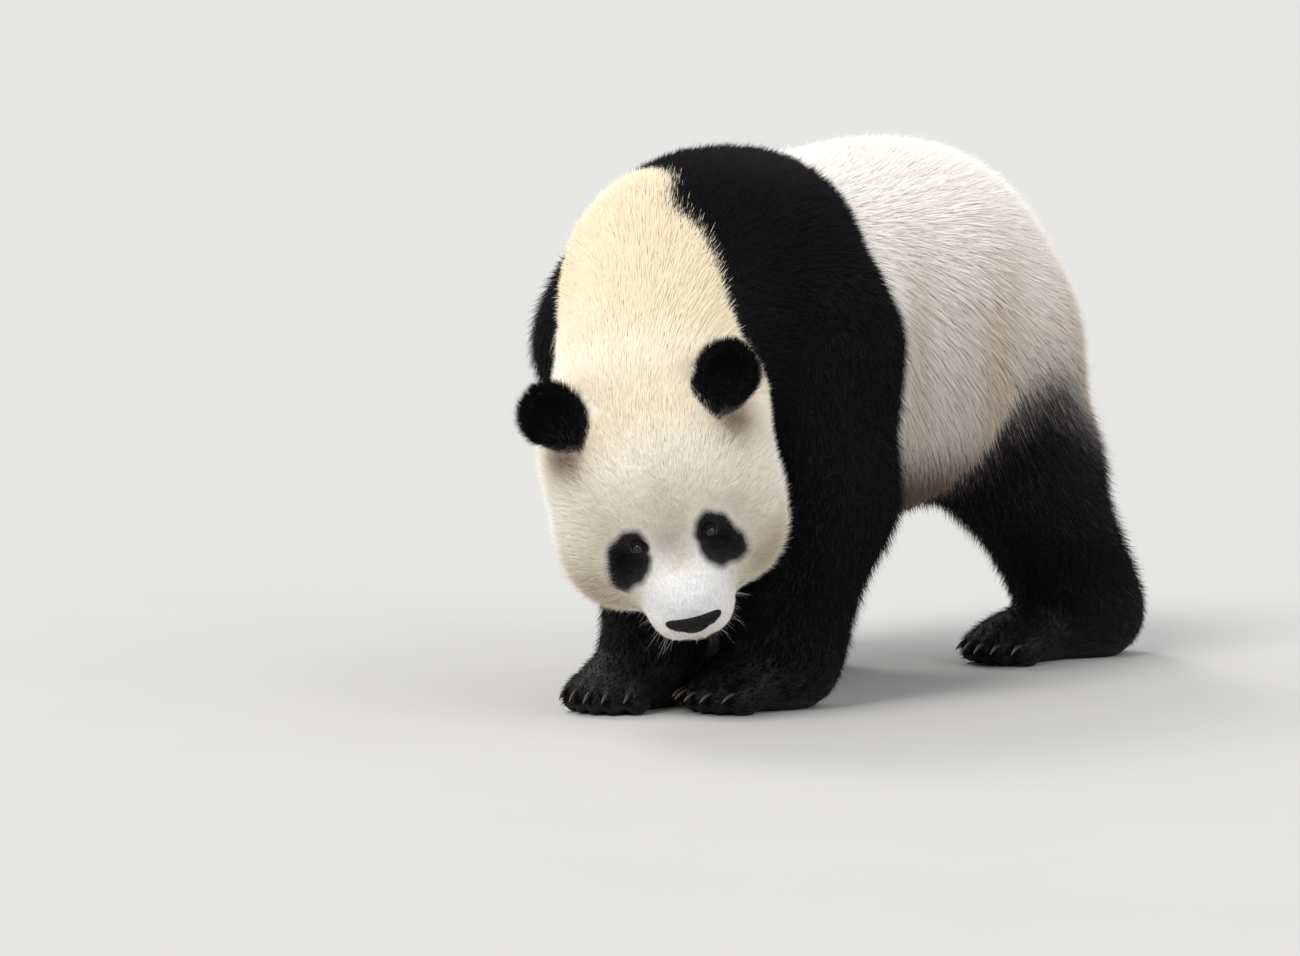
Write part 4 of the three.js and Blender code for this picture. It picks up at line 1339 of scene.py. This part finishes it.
def whisker_tree():
    group, given, result = new_tree("whiskers", {
        "Thickness": 0.0005, "Sag": 0.16, "Material": None})
    bristle = cone(group, **{"Vertices": 4, "Side Segments": 6, "Radius Top": 0.08})
    position = node(group, "GeometryNodeInputPosition").outputs["Position"]
    height = node(group, "ShaderNodeSeparateXYZ", {0: position}).outputs["Z"]
    square = scalar(group, "MULTIPLY", height, height)
    bowed = stored(group, bristle, "droop", scalar(group, "MULTIPLY", given["Sag"], square))
    girth = given["Thickness"]
    roots = node(group, "GeometryNodeMeshToPoints", {"Mesh": given["Geometry"]})
    placed = node(group, "GeometryNodeInstanceOnPoints", {
        "Points": roots.outputs[0], "Instance": bowed,
        "Rotation": pointed(group, named(group, "aim", "FLOAT_VECTOR")),
        "Scale": node(group, "ShaderNodeCombineXYZ", {
            "X": girth, "Y": girth, "Z": named(group, "reach")}).outputs[0]})
    real = node(group, "GeometryNodeRealizeInstances", {"Geometry": placed.outputs[0]})
    down = scalar(group, "MULTIPLY", named(group, "droop"), named(group, "reach"))
    drop = node(group, "ShaderNodeCombineXYZ", {"Z": scalar(group, "MULTIPLY", down, -1.0)})
    moved = node(group, "GeometryNodeSetPosition", {
        "Geometry": real.outputs[0], "Offset": drop.outputs[0]})
    return painted(group, moved.outputs[0], given["Material"], result)


draw = np.random.default_rng(WHISKER_SEED)
starts, aims, reaches = [], [], []
for s in SIDES:
    for row in range(WHISKER_ROWS):
        for n in range(WHISKERS_A_ROW):
            stray = draw.uniform(-WHISKER_STRAY, WHISKER_STRAY)
            angle = math.radians(FIRST_WHISKER + WHISKER_STEP * n + stray)
            drop = -0.22 - 0.17 * row + draw.uniform(-0.09, 0.09)
            starts.append((s * math.sin(angle), math.cos(angle), drop))
            aims.append((s * (math.sin(angle) + 0.2), math.cos(angle) * 0.55, drop * 0.9 - 0.1))
            reaches.append(draw.uniform(12, 28) * (1 - 0.06 * row))
for n in range(CHIN_BRISTLES):
    angle = math.radians(draw.uniform(-CHIN_SPREAD, CHIN_SPREAD))
    starts.append((math.sin(angle), math.cos(angle) * 0.9, -0.95 + draw.uniform(-0.2, 0.2)))
    aims.append((math.sin(angle) * 0.7, 0.45, -0.9))
    reaches.append(draw.uniform(9, 18))
starts = unit(np.array(starts)) @ HEAD_TURN.T
whisker_roots = onto_skin(in_head(0, 112, -88) + starts * 95, -starts)
whisker_aims = unit(np.array(aims) + draw.uniform(-0.3, 0.3, (len(aims), 3))) @ HEAD_TURN.T
whisker_bed = mesh_object("whisker_roots", in_metres(whisker_roots), [])
set_attribute(whisker_bed, "aim", whisker_aims)
set_attribute(whisker_bed, "reach", np.array(reaches) * MILLIMETRE)
whisker_finish, tree, shader = new_material("whisker", 0.45, 0.4)
pallor = add_noise(tree, 60.0)
add_grain(tree, shader, add_colour(tree, WHISKER_COLOUR), pallor, (0.75, 1.15), (0.28, 0.45))
whiskers = plain_mesh("whiskers", whisker_bed, whisker_tree(), {
    "Thickness": 0.00015, "Sag": 0.16, "Material": whisker_finish})
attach(whiskers, "root")


# ---------------------------------------------------------------- coat
# Dense, coarse, slightly woolly hair in two colours, 1 to 2 cm on the head and 3 cm or more on
# the body, each lock a thin solid spike rooted in the hide and lying back over the next.
# It is laid in pieces, region by region and colour by colour; where the colours meet they mingle.
TIP_SHARE = 0.6                     # of a hair's length, from its root to where its colour shows
MUZZLE_HAIR = 6.0
TOE_HAIR = 15.0
RUFF_HAIR = 13.0
CHIN_HAIR = 4.0
FRINGE_RISE = 0.5                   # how much more the hair stands out at ruff, sides and chin
EAR_FLUFF = 0.8                     # how much more the hair stands out at the rim of an ear
CHIN_FRINGE = np.array([0.0, 150.0, -128.0])
LOW_RUFF = (95, 60, -95)
HIGH_RUFF = (128, 5, -10)
RUFF_SPREAD = 52
FACE_HAIR = 20.0
GIRTH = 0.92                        # of a lock at its root, in millimetres
# how much thinner, denser and shorter the hair is in places
HEAD_THINNER, FACE_THINNER, THIGH_THINNER, BORDER_THINNER = 0.2, 0.48, 0.5, 0.42
FACE_DENSER, THIGH_DENSER, BORDER_DENSER = 0.8, 0.2, 0.7
BORDER_WIDTH = 14.0                 # of the strip of finer hair where the colours meet
BORDER_SHORTER = 0.5
# how steeply the hair stands up, and what share of it is left near the ground
LEAST_RISE, MOST_RISE, RISE_AT_GROUND = 0.18, 0.75, 0.4
FACE_HAIR_FADE = (20, 210)          # from the nose
TOE_HAIR_FADE = (40, 150)           # from the ground


def at_ruff(local, place):
    """Nearness to a place on the ruff, on each side."""
    x, y, z = place
    return [near(local, np.array([s * x, y, z]), RUFF_SPREAD) for s in SIDES]


def coat_length(points, weights):
    """Hair length in millimetres: shortest on the muzzle and the toes, longest on the flanks."""
    length = by_group(COAT_LENGTH, weights)
    head_share = share_of(["head"], weights)
    from_nose = np.linalg.norm(head_coordinates(points) - NOSE_TIP, axis=1)
    face = eased(from_nose, *FACE_HAIR_FADE)
    head_length = MUZZLE_HAIR + (FACE_HAIR - MUZZLE_HAIR) * face
    local = head_coordinates(points)
    ruff = np.max(at_ruff(local, LOW_RUFF), 0)
    head_length += RUFF_HAIR * ruff + CHIN_HAIR * near(local, CHIN_FRINGE, 36)
    length = length * (1 - head_share) + head_length * head_share
    leg_share = share_of(LEGS, weights)
    paw = leg_share * (1 - eased(points[:, 2], *TOE_HAIR_FADE))
    length = length * (1 - paw) + TOE_HAIR * paw
    at_eye = np.min([np.linalg.norm(points - EYES[s][0], axis=1) for s in SIDES], 0)
    return length * (0.55 + 0.45 * eased(at_eye, 14, 34))


hair_length = coat_length(skin_points, weights)
hair_depth = coat_depth(skin_points, weights)
hair_rise = np.clip(hair_depth * 1.05 / hair_length, LEAST_RISE, MOST_RISE)
for n, s in ((GROUPS.index("left_ear"), -1), (GROUPS.index("right_ear"), 1)):
    from_root = unit(skin_points - ear_root(s))
    hair_rise += weights[:, n] * EAR_FLUFF * np.clip((from_root * skin_outward).sum(1), 0, 1)
skin_local = head_coordinates(skin_points)
fringe = near(skin_local, CHIN_FRINGE, 40)
for low_ruff, high_ruff in zip(at_ruff(skin_local, LOW_RUFF), at_ruff(skin_local, HIGH_RUFF)):
    fringe += low_ruff + high_ruff
hair_rise += FRINGE_RISE * np.minimum(fringe, 1)
hair_rise *= RISE_AT_GROUND + (1 - RISE_AT_GROUND) * eased(skin_points[:, 2], 5, 45)
hair_edge_at = skin_points + skin_lie * hair_length[:, None] * TIP_SHARE
hair_edge = black_edge(hair_edge_at, group_distances(hair_edge_at))
hair_softness = border_softness(skin_points)
at_thigh = eased(hair_softness, 20, 70)
at_border = np.exp(-(hair_edge / BORDER_WIDTH) ** 2) * (1 - eased(hair_softness, 12, 30))
hair_length = hair_length * (1 - BORDER_SHORTER * at_border)
leg_share = share_of(LEGS, weights)
at_face = 1 - eased(np.linalg.norm(skin_points - in_head(0, 140, -30), axis=1), 70, 170)
at_paw = leg_share * (1 - eased(skin_points[:, 2], 40, 130))
at_ear = share_of(["left_ear", "right_ear"], weights)
fine = np.maximum(np.maximum(at_face, 0.6 * at_paw), 0.8 * at_ear)
on_head = 1 - eased(distances[:, GROUPS.index("head")], 0, 60)
hair_girth = GIRTH - HEAD_THINNER * on_head * (1 - fine) - FACE_THINNER * fine
hair_girth *= (1 - THIGH_THINNER * at_thigh) * (1 - BORDER_THINNER * at_border)
hair_fullness = 1.0 + FACE_DENSER * fine + THIGH_DENSER * at_thigh + BORDER_DENSER * at_border
hairless = (
    (from_eye < 12.0) | (from_mouth < 2.6) | sole | under_nose
    | (nose_field(skin_points) < 1.0) | (skin_points[:, 2] < 3.0)
)
hair_fullness[hairless] = 0.0

# every face of the hide belongs to one region
nearest_group = distances.argmin(1)
corner_starts = gathered(skin_data.polygons, "loop_start", kind=np.int32)
corner_counts = gathered(skin_data.polygons, "loop_total", kind=np.int32)
corner_points = gathered(skin_data.loops, "vertex_index", kind=np.int32)
face_first = corner_points[corner_starts]
face_group = nearest_group[face_first]
face_at = skin_points[face_first]
face_local = head_coordinates(face_at)


def in_groups(*names):
    return np.isin(face_group, [GROUPS.index(name) for name in names])


def any_corner(flag):
    return np.add.reduceat(flag[corner_points].astype(np.int32), corner_starts) > 0


may_be_black = any_corner(hair_edge > -hair_softness - 1)
may_be_white = any_corner(hair_edge < hair_softness + 1)
head_faces = in_groups("head") & (face_local[:, 1] > 45)
crown_faces = in_groups("head", "neck") & ~head_faces
ear_faces = in_groups("left_ear", "right_ear")
trunk_faces = in_groups("trunk")
rear_faces = trunk_faces & (face_at[:, 1] > 0)
band_faces = (trunk_faces & ~rear_faces) | in_groups("neck")
left_faces = face_at[:, 0] >= 0


def coat_bed(name, faces, tint):
    """A copy of the hide's faces that a piece of coat grows from, with what its hair needs."""
    corners = [
        corner_points[corner_starts[n]:corner_starts[n] + corner_counts[n]]
        for n in np.flatnonzero(faces)]
    used = np.unique(np.concatenate(corners))
    renumber = np.full(len(skin_points), -1)
    renumber[used] = np.arange(len(used))
    bed = mesh_object(name, skin_metres[used], [renumber[points].tolist() for points in corners])
    for label, values in {
            "lie": skin_lie, "outward": skin_outward, "reach": hair_length * MILLIMETRE,
            "rise": hair_rise, "edge": hair_edge, "softness": hair_softness,
            "girth": hair_girth * MILLIMETRE, "fullness": hair_fullness, "tint": tint}.items():
        set_attribute(bed, label, values[used])
    return bed


def random_number(group, low, high, seed):
    made = node(
        group, "FunctionNodeRandomValue", {"Seed": seed, 2: low, 3: high}, data_type="FLOAT")
    return made.outputs[1]


def coat_tree():
    """Strews roots over a bed, and stands a thin three-sided spike on each, laid along the coat."""
    group, given, result = new_tree("coat", {
        "Hairs per square metre": 150000.0, "Colour side": 1.0, "Stray": 0.12, "Fluff": 0.3,
        "Flatness": 0.3, "Lock size": 0.014, "Lock pull": 0.24, "Root depth": 0.0015,
        "Seed": 1, "Material": None})

    def times(first, second):
        return scalar(group, "MULTIPLY", first, second)

    def scaled(way, scale):
        return vector(group, "SCALE", {0: way, "Scale": scale})

    def added(first, second):
        return vector(group, "ADD", {0: first, 1: second})

    seeds = [scalar(group, "ADD", given["Seed"], n) for n in range(1, 7)]
    # roots, each kept or not by the colour that its tip falls in
    strewn = node(group, "GeometryNodeDistributePointsOnFaces", {
        "Mesh": given["Geometry"], "Seed": given["Seed"],
        "Density": times(given["Hairs per square metre"], named(group, "fullness"))},
        distribute_method="RANDOM")
    chance = random_number(group, -1.0, 1.0, seeds[0])
    jitter = times(times(times(chance, chance), chance), named(group, "softness"))
    own_side = times(scalar(group, "ADD", named(group, "edge"), jitter), given["Colour side"])
    kept = node(group, "GeometryNodeDeleteGeometry", {
        "Geometry": strewn.outputs["Points"],
        "Selection": scalar(group, "LESS_THAN", own_side, 0.0)}, domain="POINT")
    outward = named(group, "outward", "FLOAT_VECTOR")
    rooted = node(group, "GeometryNodeSetPosition", {
        "Geometry": kept.outputs[0], "Offset": scaled(outward, times(given["Root depth"], -1.0))})
    # the way each hair points: along the coat, pulled into locks, lifted, and a little astray
    position = node(group, "GeometryNodeInputPosition").outputs["Position"]
    lock_noise = node(group, "ShaderNodeTexNoise", {
        "Vector": position, "Detail": 1.0,
        "Scale": scalar(group, "DIVIDE", 1.0, given["Lock size"])})
    centred = vector(group, "SUBTRACT", {0: lock_noise.outputs["Color"], 1: (0.5, 0.5, 0.5)})
    lock = scaled(centred, times(given["Lock pull"], 2.0))
    wild = node(group, "FunctionNodeRandomValue", {
        "Seed": seeds[1], 0: (-1.0, -1.0, -1.0), 1: (1.0, 1.0, 1.0)}, data_type="FLOAT_VECTOR")
    stray = scaled(wild.outputs[0], given["Stray"])
    lift = times(named(group, "rise"), random_number(group, 0.6, 1.25, seeds[2]))
    rare = random_number(group, 0.0, 1.0, seeds[5])
    rare = times(times(rare, rare), rare)
    lift = times(lift, scalar(group, "ADD", times(given["Fluff"], rare), 1.0))
    aim = added(named(group, "lie", "FLOAT_VECTOR"), scaled(outward, lift))
    aim = added(added(aim, lock), stray)
    faced = node(group, "FunctionNodeAlignRotationToVector", {
        "Rotation": pointed(group, aim), "Vector": outward}, axis="X", pivot_axis="Z")
    # the spike, its size, and what its finish needs to know
    girth = named(group, "girth")
    size = node(group, "ShaderNodeCombineXYZ", {
        "X": times(girth, given["Flatness"]), "Y": girth,
        "Z": times(named(group, "reach"), random_number(group, 0.7, 1.15, seeds[3]))})
    spike = cone(group, **{"Vertices": 3, "Side Segments": 1, "Radius Top": 0.0})
    height = node(group, "ShaderNodeSeparateXYZ", {0: position}).outputs["Z"]
    lot = random_number(group, 0.0, 1.0, seeds[4])
    spikes = node(group, "GeometryNodeInstanceOnPoints", {
        "Points": stored(group, rooted.outputs[0], "chance", lot),
        "Instance": stored(group, spike, "along", height),
        "Rotation": faced.outputs[0], "Scale": size.outputs[0]})
    last = node(group, "GeometryNodeRealizeInstances", {"Geometry": spikes.outputs[0]}).outputs[0]
    for name in ("lie", "reach", "rise", "edge", "softness", "girth", "fullness"):
        removed = node(group, "GeometryNodeRemoveAttribute", {"Geometry": last, "Name": name})
        last = removed.outputs[0]
    # the light falls on a hair mostly as it does on the hide beneath it
    own = scaled(node(group, "GeometryNodeInputNormal").outputs[0], 0.22)
    soft = vector(group, "NORMALIZE", {0: added(named(group, "outward", "FLOAT_VECTOR"), own)})
    shaded = node(
        group, "GeometryNodeSetMeshNormal", {"Mesh": last, "Custom Normal": soft}, mode="FREE")
    return painted(group, shaded.outputs[0], given["Material"], result)


def hair_finish(name, root_shade, tip_share, spread, roughness, specular, sheen):
    """Hair darkened towards the root as painted shade deep in the coat, each lock a little lighter
    or darker than the next.
    """
    material, tree, shader = new_material(name, roughness, specular)
    shader.inputs["Sheen Weight"].default_value = sheen
    shader.inputs["Sheen Roughness"].default_value = 0.45
    tint = add_attribute(tree, "tint", "Vector")
    chance = add_attribute(tree, "chance")
    # darker at the root: painted shade deep in the coat
    for factor, low, high in (
            (add_attribute(tree, "along"), root_shade, tip_share),
            (chance, 1 - spread, 1 + 0.6 * spread),
            (add_noise(tree, 55.0, 3.0), 0.93, 1.07)):
        tint = multiplied(tree, tint, add_ramp(tree, factor, low, high))
    tree.links.new(tint, shader.inputs["Base Color"])
    tree.links.new(
        add_ramp(tree, chance, roughness - 0.08, roughness + 0.1), shader.inputs["Roughness"])
    add_bump(tree, shader, add_noise(tree, 2600.0, 2.0), 0.3, 0.0003)
    return material


white_hair = hair_finish("white_hair", 0.82, 1.05, 0.10, 0.65, 0.22, 0.10)
face_hair = hair_finish("face_hair", 0.82, 1.2, 0.13, 0.65, 0.22, 0.12)
cream_hair = hair_finish("cream_hair", 0.90, 1.03, 0.06, 0.68, 0.20, 0.12)
black_hair = hair_finish("black_hair", 0.5, 1.3, 0.22, 0.58, 0.05, 0.0)


def round_axis(points, middle, axes):
    """Unwraps a form round its own long axis: the angle across, and the place along it."""
    q = (points - middle) @ axes
    return np.stack([np.arctan2(q[:, 0], q[:, 1]) / (2 * math.pi) + 0.5, q[:, 2]], 1)


def spread_flat(points, middle, axis):
    """Unwraps a round form from its front pole, with areas kept."""
    q = unit((points - middle) @ axis)
    out = np.sqrt(np.maximum(1 - q[:, 2], 0) / 2)
    flat = unit(q[:, :2]) * out[:, None]
    return flat * 0.5 + 0.5


FORWARD_AXES = np.stack([X_AXIS, Z_AXIS, -Y_AXIS], 1)
DOWN_AXES = np.stack([X_AXIS, -Y_AXIS, -Z_AXIS], 1)
POLE_AXES = np.stack([X_AXIS, Z_AXIS, Y_AXIS], 1)


def leg_unwrap(name):
    leg = LEGS[name]
    joints = np.array([leg["end"], leg["bend"], leg["top"]], float)

    def unwrap(points):
        axis = np.stack([np.interp(points[:, 2], joints[:, 2], joints[:, a]) for a in (0, 1)], 1)
        shifted = points.copy()
        shifted[:, :2] -= axis
        return round_axis(shifted, np.zeros(3), DOWN_AXES)
    return unwrap


def trunk_unwrap(points):
    return round_axis(points, np.array([0.0, 0.0, 430.0]), FORWARD_AXES)


def head_unwrap(points):
    return spread_flat(points, in_head(0, 20, 0), HEAD_TURN @ POLE_AXES)


def ear_unwrap(points):
    side = np.where(head_coordinates(points)[:, 0] >= 0, 1, -1)
    flat = np.empty((len(points), 2))
    for s in SIDES:
        own = side == s
        unwrapped = spread_flat(points[own], in_head(s * 110, -16, 112), ear_turn(s) @ POLE_AXES)
        flat[own] = unwrapped * [0.5, 1.0] + [0.25 * (1 + s), 0]
    return flat


PATCH_SIZE = 0.003                  # of a hair's own patch, as a share of the map
HAIR_CORNERS = np.array([[-0.5, -0.5], [0.5, -0.5], [0.0, 0.5]])


def lay_out(piece, unwrap):
    """Gives each hair its own small patch of the map OFBake, at its root's place on the hide."""
    mesh = piece.data
    points = gathered(mesh.vertices, "co", 3, np.float32).reshape(-1, 4, 3)
    along = gathered(mesh.attributes["along"].data, "value", kind=np.float32)
    base = along.reshape(-1, 4) < 0.5
    flat = unwrap(in_body((points * base[:, :, None]).sum(1) / 3))
    low, high = flat.min(0), flat.max(0)
    flat = (flat - low) / (high - low) * (1 - 2 * PATCH_SIZE) + PATCH_SIZE
    corner = np.zeros((4, 2))
    corner[base[0]] = HAIR_CORNERS
    spots = (flat[:, None, :] + corner[None] * PATCH_SIZE).reshape(-1, 2)
    loops = gathered(mesh.loops, "vertex_index", kind=np.int32)
    layer = mesh.uv_layers.new(name="OFBake")
    layer.data.foreach_set("uv", spots[loops].astype(np.float32).ravel())


coat_nodes = coat_tree()
crown_head = crown_faces & in_groups("head")
left_white = (trunk_faces | in_groups("left_hind", "left_fore")) & left_faces & may_be_white
right_white = (trunk_faces | in_groups("right_hind", "right_fore")) & ~left_faces & may_be_white
left_rump = in_groups("left_hind") | (rear_faces & left_faces)
right_rump = in_groups("right_hind") | (rear_faces & ~left_faces)
COAT = [
    # name, faces, finish, hairs a square metre, stray, fluff, unwrap
    ("face_coat", head_faces & may_be_white, face_hair, 300000, 0.22, 1.5, head_unwrap),
    ("crown_coat", crown_head & may_be_white, face_hair, 330000, 0.16, 1.0, head_unwrap),
    ("nape_coat", in_groups("neck") & may_be_white, cream_hair, 270000, 0.08, 0.4, head_unwrap),
    ("left_back_coat", left_white, white_hair, 120000, 0.12, 0.5, trunk_unwrap),
    ("right_back_coat", right_white, white_hair, 100000, 0.12, 0.5, trunk_unwrap),
    ("tail_coat", in_groups("tail"), white_hair, 150000, 0.14, 0.5, trunk_unwrap),
    ("eye_patch_coat", head_faces & may_be_black, black_hair, 420000, 0.16, 0.6, head_unwrap),
    ("ear_coat", (ear_faces | crown_head) & may_be_black, black_hair, 400000, 0.26, 0.5,
     ear_unwrap),
    ("shoulder_coat", band_faces & may_be_black, black_hair, 235000, 0.15, 0.4, trunk_unwrap),
    ("left_fore_coat", in_groups("left_fore"), black_hair, 128000, 0.26, 2.2,
     leg_unwrap("left_fore")),
    ("right_fore_coat", in_groups("right_fore"), black_hair, 105000, 0.24, 1.2,
     leg_unwrap("right_fore")),
    ("left_hind_coat", left_rump & may_be_black, black_hair, 125000, 0.26, 2.2,
     leg_unwrap("left_hind")),
    ("right_hind_coat", right_rump & may_be_black, black_hair, 100000, 0.24, 1.2,
     leg_unwrap("right_hind")),
]
for number, (name, faces, finish, density, stray, fluff, unwrap) in enumerate(COAT):
    is_black = finish is black_hair
    bed = coat_bed(f"{name}_bed", faces, skin_black_tint if is_black else skin_white_tint)
    coat = plain_mesh(name, bed, coat_nodes, {
        "Hairs per square metre": float(density), "Stray": stray, "Fluff": fluff,
        "Colour side": 1.0 if is_black else -1.0, "Seed": 20 + 10 * number, "Material": finish})
    lay_out(coat, unwrap)
    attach(coat, "root")
